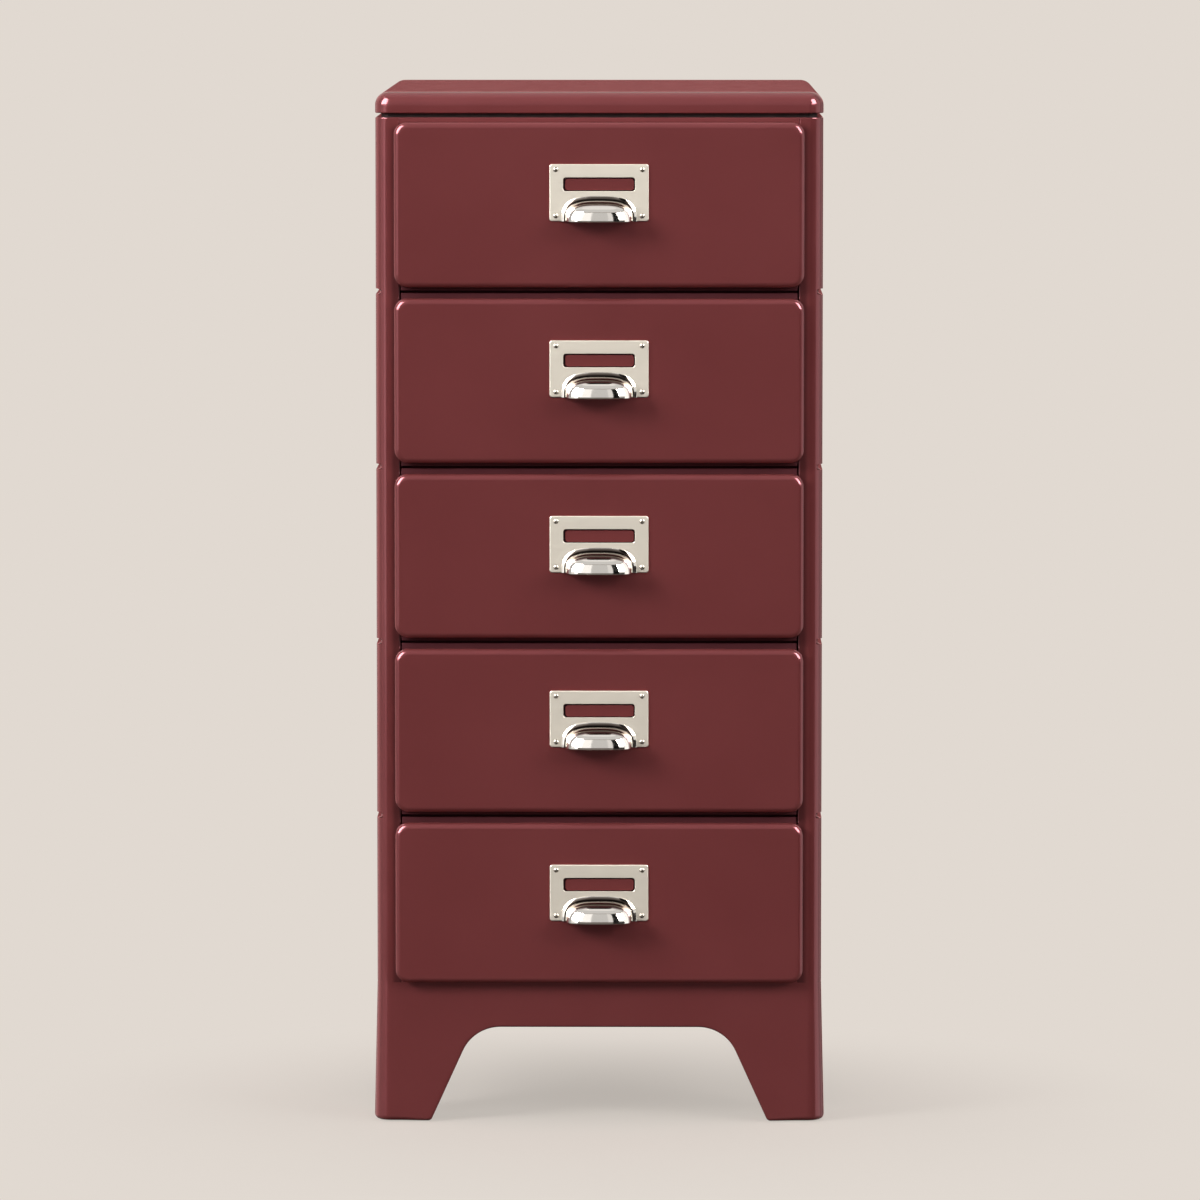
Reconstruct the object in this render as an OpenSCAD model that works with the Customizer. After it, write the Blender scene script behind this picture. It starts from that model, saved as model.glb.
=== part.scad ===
// Narrow five-drawer steel chest on a pressed leg base, with a raised top cover,
// overlay drawer fronts and plated label-plate cup pulls.
// X is the width, the fronts face -Y, Z is up. The origin is on the floor, under the
// middle of the whole chest, pulls and back rivets included.

/* [Body] */
// Width across the side panels
body_w = 334.6; // [300:0.2:420]
// Depth from the front flanges to the back returns
body_d = 400; // [370:1:520]
// Radius of the four upright corners
corner_r = 11; // [9:0.5:14]
// Sheet thickness of the panels
sheet_t = 0.8; // [0.6:0.1:1.2]
// Width of each front flange beside the drawers
flange_w = 18.15; // [16:0.05:30]
// Depth of the return lip behind each front flange
flange_lip = 10; // [6:0.5:14]
// Width of the return at each back corner
back_return = 24; // [20:1:34]

/* [Pressed grooves] */
// Radius of the groove's round section
groove_r = 2.2; // [1.4:0.1:2.6]
// Depth of the groove's centre line under the skin
groove_sink = 0.8; // [0.4:0.1:1.2]
// Angle that the groove wraps round the front corner
groove_wrap = 54; // [20:1:80]

/* [Top] */
// Overhang of the top cover past the body, all round
cover_overhang = 0.2; // [0:0.1:3]
// Height of the top cover
cover_h = 15.8; // [12:0.1:30]
// Radius of the cover's upper edge
cover_edge_r = 10; // [4:0.5:10.5]
// Radius of the cover's upright corners
cover_corner_r = 12; // [11:0.5:16]
// Sheet thickness of the cover
cover_t = 1; // [0.8:0.1:1.2]
// Width of the cover's inward lip
cover_lip = 22; // [20:1:34]
// Height of the shadow gap under the cover
shadow_gap = 3.1; // [2:0.1:8]
// Depth of the shadow gap
shadow_recess = 4.5; // [2:0.5:8]
// Height of the flanges that hang from the top panel inside the body
top_flange = 8; // [5:0.5:9]
// Distance of the cover screws from the side faces
screw_inset = 16; // [14:0.5:20]
// Distance of the cover screws from the front and back faces
screw_inset_y = 42; // [30:1:80]
// Radius of the cover screws
screw_r = 2; // [1.5:0.25:2.5]

/* [Base] */
// Height of the base, up to its seam with the body
base_h = 105.9; // [85:0.1:160]
// How far the base's foot stands out past the body
base_flare = 2.4; // [0:0.1:6]
// Sheet thickness of the base
base_t = 1; // [0.8:0.1:1.2]
// Width of the base's top lip, which carries the body
base_lip = 9; // [5:0.5:9]
// Height of the arch between the legs
arch_h = 71.9; // [50:0.1:75]
// Width of a foot at the floor
foot_w = 42.4; // [36:0.2:60]
// Slant of the leg's inner edge from upright
leg_slant = 24.5; // [5:0.5:30]
// Radius where the leg's inner edge meets the arch
arch_r = 31; // [10:1:40]
// Depth of the inward lip round the arch
arch_lip = 8; // [4:0.5:9]
// Height of the sheet's lower edge above the floor
leg_lift = 0.8; // [0.4:0.1:3]
// Size of the moulded insert in each foot
insert_w = 30; // [20:1:34]
// Height of the insert
insert_h = 12; // [8:1:30]
// Radius of the recess in the insert
insert_recess_r = 6; // [3:0.5:8]
// Thickness of the insert's floor
insert_floor = 2; // [1:0.5:4]

/* [Drawers] */
// Height from one drawer front to the next
drawer_pitch = 131.4; // [120:0.1:170]
// Gap between neighbouring drawer fronts
front_gap = 8; // [4:0.1:12]
// How far a drawer front overlaps the flange at each side
front_overlap = 4.1; // [3:0.1:12]
// How far a drawer front stands out of the body
front_proud = 10; // [6:0.5:16]
// Radius of a drawer front's corners
front_corner_r = 10; // [6:0.5:14]
// Radius of a drawer front's edge
front_edge_r = 4.5; // [2:0.25:5.5]
// Gap between the top of the body and the first drawer front
top_gap = 3.2; // [1:0.1:8]
// Height that the last drawer front is shorter
bottom_trim = 2; // [0:0.1:6]
// Gap between the last drawer front and the base seam
bottom_gap = 0.5; // [0.2:0.1:4]
// Running gap behind a closed drawer front
front_clear = 0.5; // [0.3:0.1:2]
// Gap between the tray's sides and the flange lips, each side
tray_clear = 1.75; // [1.6:0.05:3]
// Depth of the tray
tray_d = 372; // [330:1:385]
// Height of the tray
tray_h = 96; // [60:1:98]
// Height of the folded hem round the tray's edge
tray_hem = 8; // [4:0.5:14]
// How far a drawer opens
drawer_travel = 290; // [200:1:290]
// Length of the stop lug on each side of a tray
lug_w = 8; // [4:0.5:14]
// Height of the stop lug
lug_h = 10; // [4:0.5:16]
// Height of the lug above the top of the runner
lug_rise = 14; // [4:0.5:30]
// How far the lug reaches behind the flange lip
lug_catch = 2.4; // [1:0.1:5]
// Gap left between the lug and the lip when the drawer is open
lug_clear = 0.3; // [0.2:0.1:1]
// Gap round the liner inside the drawer front
liner_clear = 0.1; // [0.05:0.05:0.4]

/* [Rails and runners] */
// Height of a rail between two drawers
rail_h = 16; // [12:0.5:18]
// Depth of a rail
rail_d = 14; // [8:0.5:20]
// Set-back of a rail behind the flanges
rail_setback = 0.5; // [0:0.1:2]
// Slot between a rail's two front lips
rail_slot = 1.8; // [1:0.1:4]
// Height of the rails' centre line above the middle of the gap
rail_lift = 0.5; // [-2:0.1:2]
// Sheet thickness of the runners
runner_t = 1.2; // [1:0.1:2]
// Height of a runner's shelf above the rail below it
shelf_rise = 9; // [8.5:0.5:12]
// Gap between a rail and the runners behind it
runner_gap = 1; // [0.5:0.1:5]
// Height of the hem under a runner's shelf
shelf_hem = 8; // [3:0.5:8]
// Width of a runner's shelf
shelf_w = 12; // [6:0.5:20]
// Height of the upright guide beside the tray
guide_h = 12; // [6:0.5:20]
// Running gap between the tray and its guides, each side
guide_clear = 0.8; // [0.4:0.1:1.2]
// Running gap between the tray and its shelf
shelf_clear = 0.3; // [0.2:0.1:0.6]
// Height of the runner's leg on the side panel
runner_leg = 18; // [10:1:24]

/* [Pull] */
// Width of the label plate
plate_w = 74; // [68:0.5:90]
// Height of the label plate
plate_h = 42.5; // [40:0.5:60]
// Thickness of the label plate
plate_t = 1.2; // [0.8:0.1:2]
// Corner radius of the label plate
plate_corner_r = 2; // [0.5:0.25:3]
// Distance of the plate's top below the drawer front's top
plate_drop = 31.2; // [15:0.1:60]
// Width of the label window
window_w = 53.7; // [40:0.1:58]
// Height of the label window
window_h = 10.2; // [6:0.1:12]
// Corner radius of the label window
window_r = 1.2; // [0.5:0.1:3]
// Distance of the window's top below the plate's top
window_drop = 9.9; // [7:0.1:10]
// Width of the cup with its ledge
cup_w = 56.4; // [50:0.2:60]
// Height of the cup with its ledge
cup_h = 19; // [17:0.1:22]
// Height of the cup's straight skirt over its ledge
cup_skirt = 2.8; // [0.5:0.1:8]
// Radius of the cup's rounded ends
cup_corner_r = 12; // [6:0.5:12]
// Width of the ledge round the cup
cup_ledge = 3; // [1:0.1:4]
// Height of the ledge over the plate
ledge_t = 1.2; // [0.6:0.1:2]
// Sheet thickness of the cup
cup_t = 1; // [0.8:0.1:1.6]
// Distance of the plate's rivets from its sides
pin_inset_x = 4.8; // [3.5:0.1:6]
// Distance of the plate's rivets from its top and bottom
pin_inset_z = 4; // [3.5:0.1:6]

/* [Fasteners] */
// Radius of the plate rivets' shanks
pin_r = 1; // [0.75:0.05:1.25]
// Radius of the plate rivets' heads
pin_head_r = 1.9; // [1.6:0.1:2.4]
// Height of the plate rivets' heads
pin_head_h = 0.9; // [0.4:0.1:1.5]
// Radius of the back rivets' shanks
rivet_r = 1.6; // [1:0.1:2.4]
// Radius of the back rivets' heads
rivet_head_r = 3.4; // [2.6:0.1:5]
// Height of the back rivets' heads
rivet_head_h = 0.9; // [0.5:0.1:2]
// Clearance of a fastener in its hole
hole_clear = 0.1; // [0.05:0.05:0.3]

/* [Hidden] */
$fn = 64;
drawer_ids = [1, 2, 3, 4, 5];
drawer_count = len(drawer_ids);
rail_ids = [for (n = drawer_ids) if (n < drawer_count) n];
DRAWER_PARTS = ["front", "liner", "tray", "pull", "rivets"];

PAINT = "#6b3636";
PAINT_INSIDE = "#5a2b2b";
ZINC = "#a9a9a4";
NICKEL = "#cfc9bd";
NYLON = "#1c1a1a";

EPS = 1;

// widths
opening_w = body_w - 2 * flange_w;
front_w = opening_w + 2 * front_overlap;
tray_w = opening_w - 2 * tray_clear;

// heights
front_h = drawer_pitch - front_gap;
body_h = top_gap + drawer_count * drawer_pitch - front_gap - bottom_trim + bottom_gap;
body_top = base_h + body_h;
cover_z = body_top + shadow_gap;

// the cup's reach and the whole depth, which set where the front flanges stand
cup_r = cup_h - cup_ledge;
cup_reach = plate_t + ledge_t + cup_skirt + cup_r;
back_reach = max(rivet_head_h, base_flare);
overall_d = front_proud + cup_reach + body_d + back_reach;
front_y = front_proud + cup_reach - overall_d / 2;
back_y = front_y + body_d;
mid_y = (front_y + back_y) / 2;

// inside faces
side_in = body_w / 2 - sheet_t;
straight_x = body_w / 2 - corner_r;
straight_y = body_d / 2 - corner_r;
back_in = back_y - 2 * sheet_t;

// rails, runners and trays
rail_back_y = front_y + rail_setback + rail_d;
runner_y = rail_back_y + runner_gap;
guide_x = tray_w / 2 + guide_clear;
tray_y = front_y - front_clear;
lug_z = guide_h + runner_leg + lug_rise;
lug_reach = tray_clear + lug_catch;
groove_ridge_r = groove_r + sheet_t;

function front_top(n) = body_top - top_gap - (n - 1) * drawer_pitch;
function front_trim(n) = n == drawer_count ? bottom_trim : 0;
function rail_z(n) = front_top(n) - front_h - front_gap / 2 + rail_lift;
function opening_z(n) = rail_z(n) + rail_h / 2;
function shelf_z(n) = opening_z(n) + shelf_rise;
function tray_z(n) = shelf_z(n) + shelf_clear;
function arc(r, from, to, steps) =
    [for (i = [0:steps]) let (a = from + (to - from) * i / steps) [r * cos(a), r * sin(a)]];
function shifted(points, v) = [for (p = points) p + v];

// ---- shapes used by several pieces ----

module quarter_disc(r) {
    intersection() {
        circle(r);
        square(r);
    }
}

module rounded_rect(w, l, r) {
    square([w - 2 * r, l], center = true);
    square([w, l - 2 * r], center = true);
    for (a = [0:3]) {
        x = (a == 0 || a == 3 ? 1 : -1) * (w / 2 - r);
        y = (a < 2 ? 1 : -1) * (l / 2 - r);
        translate([x, y]) rotate(90 * a) quarter_disc(r);
    }
}

// One upright corner of a section that runs round a w by l rectangle. The children are the
// section: x is the distance out from the corner's centre, y is the height.
module rim_corner(w, l, r, a) {
    x = (a == 0 || a == 3 ? 1 : -1) * (w / 2 - r);
    y = (a < 2 ? 1 : -1) * (l / 2 - r);
    translate([x, y, 0]) rotate([0, 0, 90 * a]) rotate_extrude(angle = 90) children();
}

// One straight side of the same section: side 0 faces +X, 1 +Y, 2 -X and 3 -Y.
module rim_side(w, l, r, a) {
    run = (a % 2 == 0 ? l : w) - 2 * r;
    out = (a % 2 == 0 ? w : l) / 2 - r;
    rotate([0, 0, 90 * a]) translate([out, run / 2, 0]) rotate([90, 0, 0])
        linear_extrude(run) children();
}

module rim(w, l, r) {
    for (a = [0:3]) {
        rim_corner(w, l, r, a) children();
        rim_side(w, l, r, a) children();
    }
}

// A pressed pan, open below, with rounded upright corners and a rounded upper edge.
module pan(w, l, h, corner, edge, t) {
    translate([0, 0, h - t]) linear_extrude(t)
        rounded_rect(w - 2 * edge, l - 2 * edge, corner - edge);
    rim(w, l, corner) {
        translate([corner - t, 0]) square([t, h - edge]);
        translate([corner - edge, h - edge]) difference() {
            quarter_disc(edge);
            circle(edge - t);
        }
    }
}

// The outline of the body, seen from above, inset by the given distance.
module body_plan(inset) {
    translate([0, mid_y])
        rounded_rect(body_w - 2 * inset, body_d - 2 * inset, corner_r - inset);
}

// A low round head on a flat face, rising along +Z.
module round_head(r, h) {
    dome_r = (r * r + h * h) / (2 * h);
    rotate_extrude() intersection() {
        translate([0, h - dome_r]) circle(dome_r);
        square([r, h]);
    }
}

// ---- body ----

module groove_path(r) {
    left_x = -body_w / 2 + groove_sink;
    translate([left_x, front_y + corner_r, 0]) rotate([-90, 0, 0])
        cylinder(h = body_d - 2 * corner_r, r = r);
    translate([-straight_x, front_y + corner_r, 0]) rotate([0, 0, 180])
        rotate_extrude(angle = groove_wrap) translate([corner_r - groove_sink, 0]) circle(r);
}

module groove_ridge() {
    left_x = -body_w / 2;
    translate([left_x, front_y + corner_r, 0]) rotate([-90, 0, 0])
        linear_extrude(body_d - 2 * corner_r) intersection() {
            translate([groove_sink, 0]) circle(groove_ridge_r);
            translate([0, -groove_ridge_r]) square([groove_sink + groove_ridge_r, 2 * groove_ridge_r]);
        }
    translate([-straight_x, front_y + corner_r, 0]) rotate([0, 0, 180])
        rotate_extrude(angle = groove_wrap) intersection() {
            translate([corner_r - groove_sink, 0]) circle(groove_ridge_r);
            translate([0, -groove_ridge_r]) square([corner_r, 2 * groove_ridge_r]);
        }
}

module side_sheet_plan() {
    intersection() {
        difference() {
            body_plan(0);
            body_plan(sheet_t);
        }
        union() {
            translate([-body_w / 2, front_y])
                square([body_w / 2 - opening_w / 2, body_d / 2]);
            translate([-body_w / 2, mid_y]) square([back_return, body_d / 2]);
        }
    }
    translate([-opening_w / 2 - sheet_t, front_y]) square([sheet_t, flange_lip]);
}

module side_panel() {
    color(PAINT) difference() {
        union() {
            translate([0, 0, base_h]) linear_extrude(body_h - sheet_t) side_sheet_plan();
            for (n = rail_ids) translate([0, 0, rail_z(n)]) groove_ridge();
        }
        for (n = rail_ids) translate([0, 0, rail_z(n)]) groove_path(groove_r);
        back_rivet_holes();
    }
}

module side_panel_left() {
    side_panel();
}

module side_panel_right() {
    mirror([1, 0, 0]) side_panel();
}

module back_panel() {
    color(PAINT_INSIDE) difference() {
        translate([-straight_x, back_in, base_h])
            cube([2 * straight_x, sheet_t, body_h - sheet_t]);
        back_rivet_holes();
        mirror([1, 0, 0]) back_rivet_holes();
    }
}

module top_panel() {
    wall = shadow_recess + sheet_t;
    color(PAINT) difference() {
        union() {
            translate([0, 0, body_top - sheet_t]) linear_extrude(sheet_t) difference() {
                body_plan(0);
                body_plan(wall);
            }
            translate([0, 0, body_top - sheet_t]) linear_extrude(shadow_gap) difference() {
                body_plan(shadow_recess);
                body_plan(wall);
            }
            translate([0, 0, cover_z - sheet_t]) linear_extrude(sheet_t) body_plan(shadow_recess);
            for (s = [-1, 1])
                translate([s * (side_in - sheet_t / 2), mid_y, body_top - sheet_t - top_flange / 2])
                    cube([sheet_t, 2 * straight_y, top_flange], center = true);
        }
        cover_screw_places() cylinder(h = EPS + sheet_t, r = screw_r + hole_clear, center = true);
    }
}

module top_rail() {
    rail_top = body_top - sheet_t;
    rail_low = opening_z(0) - rail_h;
    color(PAINT) {
        translate([-opening_w / 2, front_y, rail_low]) cube([opening_w, sheet_t, rail_top - rail_low]);
        translate([-opening_w / 2, front_y, rail_low]) cube([opening_w, rail_d, sheet_t]);
    }
}

module divider_rail(n) {
    color(PAINT) translate([-opening_w / 2, front_y + rail_setback, rail_z(n)])
        rotate([90, 0, 90]) linear_extrude(opening_w) difference() {
            translate([0, -rail_h / 2]) square([rail_d, rail_h]);
            translate([sheet_t, -rail_h / 2 + sheet_t])
                square([rail_d - 2 * sheet_t, rail_h - 2 * sheet_t]);
            translate([-EPS, -rail_slot / 2]) square([2 * sheet_t + EPS, rail_slot]);
        }
}

module bottom_panel() {
    color(PAINT_INSIDE) translate([0, mid_y, opening_z(drawer_count) - sheet_t])
        linear_extrude(sheet_t) {
            translate([-opening_w / 2, -body_d / 2])
                square([opening_w, body_d / 2]);
            translate([-side_in, -straight_y]) square([2 * side_in, 2 * straight_y]);
            translate([-straight_x, 0]) square([2 * straight_x, body_d / 2 - 2 * sheet_t]);
        }
}

module back_rivet_places() {
    for (n = drawer_ids)
        translate([-body_w / 2 + (corner_r + back_return) / 2, back_y, front_top(n) - front_h / 4])
            rotate([-90, 0, 0]) children();
}

module back_rivet_holes() {
    back_rivet_places()
        translate([0, 0, -3 * sheet_t]) cylinder(h = 4 * sheet_t, r = rivet_r + hole_clear);
}

module back_rivet() {
    round_head(rivet_head_r, rivet_head_h);
    translate([0, 0, -2 * sheet_t]) cylinder(h = 2 * sheet_t, r = rivet_r);
    translate([0, 0, -2 * sheet_t - rivet_r]) cylinder(h = rivet_r, r = 1.5 * rivet_r);
}

module back_rivets() {
    color(PAINT) {
        back_rivet_places() back_rivet();
        mirror([1, 0, 0]) back_rivet_places() back_rivet();
    }
}

// ---- top cover ----

module cover_screw_places() {
    for (x = [-1, 1], y = [-1, 1])
        translate([x * (body_w / 2 - screw_inset), mid_y + y * (body_d / 2 - screw_inset_y), cover_z])
            children();
}

module top_cover() {
    w = body_w + 2 * cover_overhang;
    l = body_d + 2 * cover_overhang;
    color(PAINT) difference() {
        union() {
            translate([0, mid_y, cover_z]) pan(w, l, cover_h, cover_corner_r, cover_edge_r, cover_t);
            translate([0, mid_y, cover_z]) linear_extrude(cover_t) difference() {
                rounded_rect(w, l, cover_corner_r);
                square([w - 2 * cover_lip, l - 2 * cover_lip], center = true);
            }
        }
        cover_screw_places() cylinder(h = 3 * cover_t, r = screw_r + hole_clear, center = true);
    }
}

module cover_screws() {
    head_h = 1.2 * screw_r;
    tip = 3 * screw_r;
    color(ZINC) cover_screw_places() {
        translate([0, 0, -sheet_t]) cylinder(h = sheet_t + cover_t + tip, r = screw_r);
        translate([0, 0, -sheet_t - head_h]) cylinder(h = head_h, r = 2 * screw_r);
    }
}

module cover_nuts() {
    nut_h = 2 * screw_r;
    color(ZINC) cover_screw_places() translate([0, 0, cover_t]) difference() {
        cylinder(h = nut_h, r = 2 * screw_r);
        translate([0, 0, -EPS]) cylinder(h = nut_h + 2 * EPS, r = screw_r + hole_clear / 2);
    }
}

// ---- base ----

// The outline of the arch between two legs, with its lower corners at half_w either side.
module arch(half_w, grow) {
    turn = 90 - leg_slant;
    fillet = arch_r + grow;
    side_x = half_w + grow / cos(leg_slant);
    top_z = arch_h + grow;
    knee_x = side_x - top_z * tan(leg_slant);
    centre = [knee_x - fillet * tan(turn / 2), top_z - fillet];
    right = concat([[side_x + EPS * tan(leg_slant), -EPS]],
        shifted(arc(fillet, leg_slant, 90, 10), centre));
    left = [for (i = [len(right) - 1:-1:0]) [-right[i][0], right[i][1]]];
    polygon(concat(right, left));
}

// The wall's section: x out from the corner's centre, y up.
module base_section() {
    foot = corner_r + base_flare;
    polygon([[foot - base_t, leg_lift], [foot, leg_lift], [corner_r, base_h], [corner_r - base_lip, base_h],
        [corner_r - base_lip, base_h - base_t], [corner_r - base_t, base_h - base_t]]);
}

module base_filled_section() {
    foot = corner_r + base_flare;
    polygon([[0, leg_lift], [foot, leg_lift], [corner_r, base_h], [0, base_h]]);
}

// One wall of the base with its arch: side 3 is the front, 1 the back, 0 and 2 the ends.
module base_wall(a) {
    across = a % 2 == 0 ? body_d : body_w;
    out = (a % 2 == 0 ? body_w : body_d) / 2;
    half_w = across / 2 + base_flare - foot_w;
    difference() {
        rim_side(body_w, body_d, corner_r, a) base_section();
        rotate([0, 0, 90 * a]) translate([out - EPS - base_t, 0, 0]) rotate([90, 0, 90])
            linear_extrude(base_flare + base_t + 2 * EPS) arch(half_w, 0);
    }
    intersection() {
        rim_side(body_w, body_d, corner_r, a) base_filled_section();
        rotate([0, 0, 90 * a]) translate([out - arch_lip, 0, 0]) rotate([90, 0, 90])
            linear_extrude(arch_lip + base_flare) difference() {
                arch(half_w, base_t);
                arch(half_w, 0);
            }
    }
}

module base_front() {
    color(PAINT) {
        translate([0, mid_y, 0]) {
            base_wall(3);
            for (a = [2, 3]) rim_corner(body_w, body_d, corner_r, a) base_section();
        }
        translate([-opening_w / 2, front_y, base_h - base_t])
            cube([opening_w, sheet_t, opening_z(drawer_count) - sheet_t - base_h + base_t]);
    }
}

module base_back() {
    color(PAINT) translate([0, mid_y, 0]) {
        base_wall(1);
        for (a = [0, 1]) rim_corner(body_w, body_d, corner_r, a) base_section();
    }
}

module base_left() {
    color(PAINT) translate([0, mid_y, 0]) base_wall(2);
}

module base_right() {
    color(PAINT) translate([0, mid_y, 0]) base_wall(0);
}

module foot_insert() {
    inset = base_t + hole_clear;
    difference() {
        translate([0, mid_y, 0]) linear_extrude(insert_h) intersection() {
            rounded_rect(body_w - 2 * inset + base_flare, body_d - 2 * inset + base_flare, corner_r);
            translate([-body_w, -body_d]) square([body_w - straight_x + insert_w - corner_r,
                body_d - straight_y + insert_w - corner_r]);
        }
        translate([-body_w / 2 + insert_w / 2, front_y + insert_w / 2, insert_floor])
            cylinder(h = insert_h, r = insert_recess_r);
    }
}

module foot_inserts() {
    color(NYLON) for (x = [0, 1], y = [0, 1])
        translate([0, y * 2 * mid_y, 0]) mirror([0, y, 0]) mirror([x, 0, 0]) foot_insert();
}

// ---- runners ----

module runner(n) {
    ledge_z = guide_h;
    shelf_x = guide_x - shelf_w;
    color(ZINC) translate([0, back_y - corner_r, shelf_z(n)]) rotate([90, 0, 0])
        linear_extrude(back_y - corner_r - runner_y) {
            translate([side_in - runner_t, ledge_z - runner_t]) square([runner_t, runner_leg]);
            translate([guide_x, ledge_z - runner_t]) square([side_in - guide_x, runner_t]);
            translate([guide_x, -runner_t]) square([runner_t, ledge_z + runner_t]);
            translate([shelf_x, -runner_t]) square([shelf_w, runner_t]);
            translate([shelf_x, -shelf_hem]) square([runner_t, shelf_hem]);
        }
}

// ---- drawers ----

module plate_pins(n) {
    z_top = front_top(n) - plate_drop;
    for (x = [-1, 1], z = [z_top - pin_inset_z, z_top - plate_h + pin_inset_z])
        translate([x * (plate_w / 2 - pin_inset_x), front_y - front_proud, z])
            rotate([90, 0, 0]) children();
}

module drawer_front(n) {
    h = front_h - front_trim(n);
    depth = front_proud - front_clear;
    color(PAINT) difference() {
        translate([0, front_y - front_clear, front_top(n) - h / 2]) rotate([90, 0, 0])
            pan(front_w, h, depth, front_corner_r, front_edge_r, sheet_t);
        plate_pins(n) cylinder(h = 4 * sheet_t, r = pin_r + hole_clear, center = true);
    }
}

module drawer_liner(n) {
    h = front_h - front_trim(n);
    inset = sheet_t + liner_clear;
    color(PAINT_INSIDE) translate([0, front_y - front_clear, front_top(n) - h / 2])
        rotate([90, 0, 0]) linear_extrude(sheet_t)
            rounded_rect(front_w - 2 * inset, h - 2 * inset, front_corner_r - inset);
}

module tray_plan(inset) {
    translate([0, tray_y + tray_d / 2])
        rounded_rect(tray_w - 2 * inset, tray_d - 2 * inset, 3 * sheet_t - inset);
}

module drawer_tray(n) {
    hem_z = tray_h - tray_hem;
    lug_y = front_y + flange_lip + drawer_travel + lug_clear;
    color(PAINT_INSIDE) translate([0, 0, tray_z(n)]) {
        linear_extrude(sheet_t) tray_plan(0);
        linear_extrude(tray_h) difference() {
            tray_plan(0);
            tray_plan(sheet_t);
        }
        translate([0, 0, hem_z]) linear_extrude(tray_hem) difference() {
            tray_plan(sheet_t);
            tray_plan(2 * sheet_t);
        }
        for (s = [0, 1]) mirror([s, 0, 0])
            translate([tray_w / 2, lug_y, lug_z]) cube([lug_reach, lug_w, lug_h]);
    }
}

// The upper half of a rounded rectangle, its base on y = 0.
module half_outline(half_w, h, r) {
    translate([r - half_w, 0]) square([2 * (half_w - r), h]);
    for (s = [0, 1]) mirror([s, 0]) {
        translate([half_w - r, 0]) square([r, h - r]);
        translate([half_w - r, h - r]) quarter_disc(r);
    }
}

// The cup's outline, grown or shrunk by the given distance.
module cup_outline(grow) {
    half_outline(cup_w / 2 - cup_ledge + grow, cup_r + grow, cup_corner_r + grow);
}

module pull() {
    linear_extrude(plate_t) difference() {
        translate([0, plate_h / 2]) rounded_rect(plate_w, plate_h, plate_corner_r);
        translate([0, plate_h - window_drop - window_h / 2])
            rounded_rect(window_w, window_h, window_r);
        cup_outline(-cup_t);
        for (x = [-1, 1], y = [pin_inset_z, plate_h - pin_inset_z])
            translate([x * (plate_w / 2 - pin_inset_x), y]) circle(pin_r + hole_clear);
    }
    translate([0, 0, plate_t]) linear_extrude(ledge_t) difference() {
        cup_outline(cup_ledge);
        cup_outline(-cup_t);
    }
    translate([0, 0, plate_t + ledge_t]) linear_extrude(cup_skirt)
        difference() {
            cup_outline(0);
            cup_outline(-cup_t);
        }
    translate([0, 0, cup_reach - cup_r]) rotate([90, 0, 90]) rotate_extrude(angle = 90)
        rotate(-90) difference() {
            cup_outline(0);
            cup_outline(-cup_t);
        }
}

module drawer_pull(n) {
    color(NICKEL) translate([0, front_y - front_proud, front_top(n) - plate_drop - plate_h])
        rotate([90, 0, 0]) pull();
}

module drawer_rivets(n) {
    grip = plate_t + sheet_t;
    color(NICKEL) plate_pins(n) {
        translate([0, 0, plate_t]) round_head(pin_head_r, pin_head_h);
        translate([0, 0, -sheet_t]) cylinder(h = grip, r = pin_r);
        translate([0, 0, -sheet_t - pin_r]) cylinder(h = pin_r, r = 1.6 * pin_r);
    }
}

side_panel_left();
side_panel_right();
back_panel();
top_panel();
top_cover();
top_rail();
bottom_panel();
base_front();
base_back();
base_left();
base_right();
foot_inserts();
back_rivets();
cover_screws();
cover_nuts();
for (n = rail_ids) divider_rail(n);
for (n = drawer_ids) {
    mirror([1, 0, 0]) runner(n);
    runner(n);
    drawer_front(n);
    drawer_liner(n);
    drawer_tray(n);
    drawer_pull(n);
    drawer_rivets(n);
}
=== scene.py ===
import math

import bmesh
import bpy
import numpy as np
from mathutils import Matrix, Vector


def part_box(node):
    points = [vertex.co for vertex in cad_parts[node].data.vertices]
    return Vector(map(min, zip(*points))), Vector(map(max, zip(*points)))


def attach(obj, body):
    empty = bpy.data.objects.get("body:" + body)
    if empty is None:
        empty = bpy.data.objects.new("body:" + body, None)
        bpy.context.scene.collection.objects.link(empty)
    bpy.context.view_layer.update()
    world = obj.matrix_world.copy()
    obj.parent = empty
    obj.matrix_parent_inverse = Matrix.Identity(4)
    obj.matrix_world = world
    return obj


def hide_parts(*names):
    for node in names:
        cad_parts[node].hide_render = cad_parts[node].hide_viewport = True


MM = 0.001
CABINET = "cabinet"
DRAWERS = (1, 2, 3, 4, 5)

# sheet metal
SHEET_T = 0.8 * MM
BASE_T = 1.0 * MM
COVER_T = 1.0 * MM
CORNER_R = 11 * MM
ARC_STEPS = 12

# top
COVER_CORNER_R = 12 * MM
COVER_EDGE_R = 10 * MM
COVER_HEM_R = 0.9 * MM
COVER_LIP = 22 * MM
DECK_EDGE_R = 0.8 * MM
DECK_RECESS = 4.5 * MM
NECK_LIP = 4 * MM

# side panels
FLANGE_LIP = 10 * MM
FLANGE_FOLD_R = 1.2 * MM
BACK_RETURN = 24 * MM
GROOVE_HALF = 2.15 * MM
GROOVE_DEPTH = 3.0 * MM
GROOVE_WRAP = 54
BLIND_END = 2 * MM
# painted shade on the flange beside the drawers: its largest share, and the height over which it fades out
# below the first drawer's top
FLANGE_SHADE_MAX = 0.55
SHADE_FADE_H = 9 * MM
SEAM_DEPTH = 0.4 * MM
SEAM_HALF = 0.7 * MM
SEAM_FADE = (20, 52)

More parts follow.
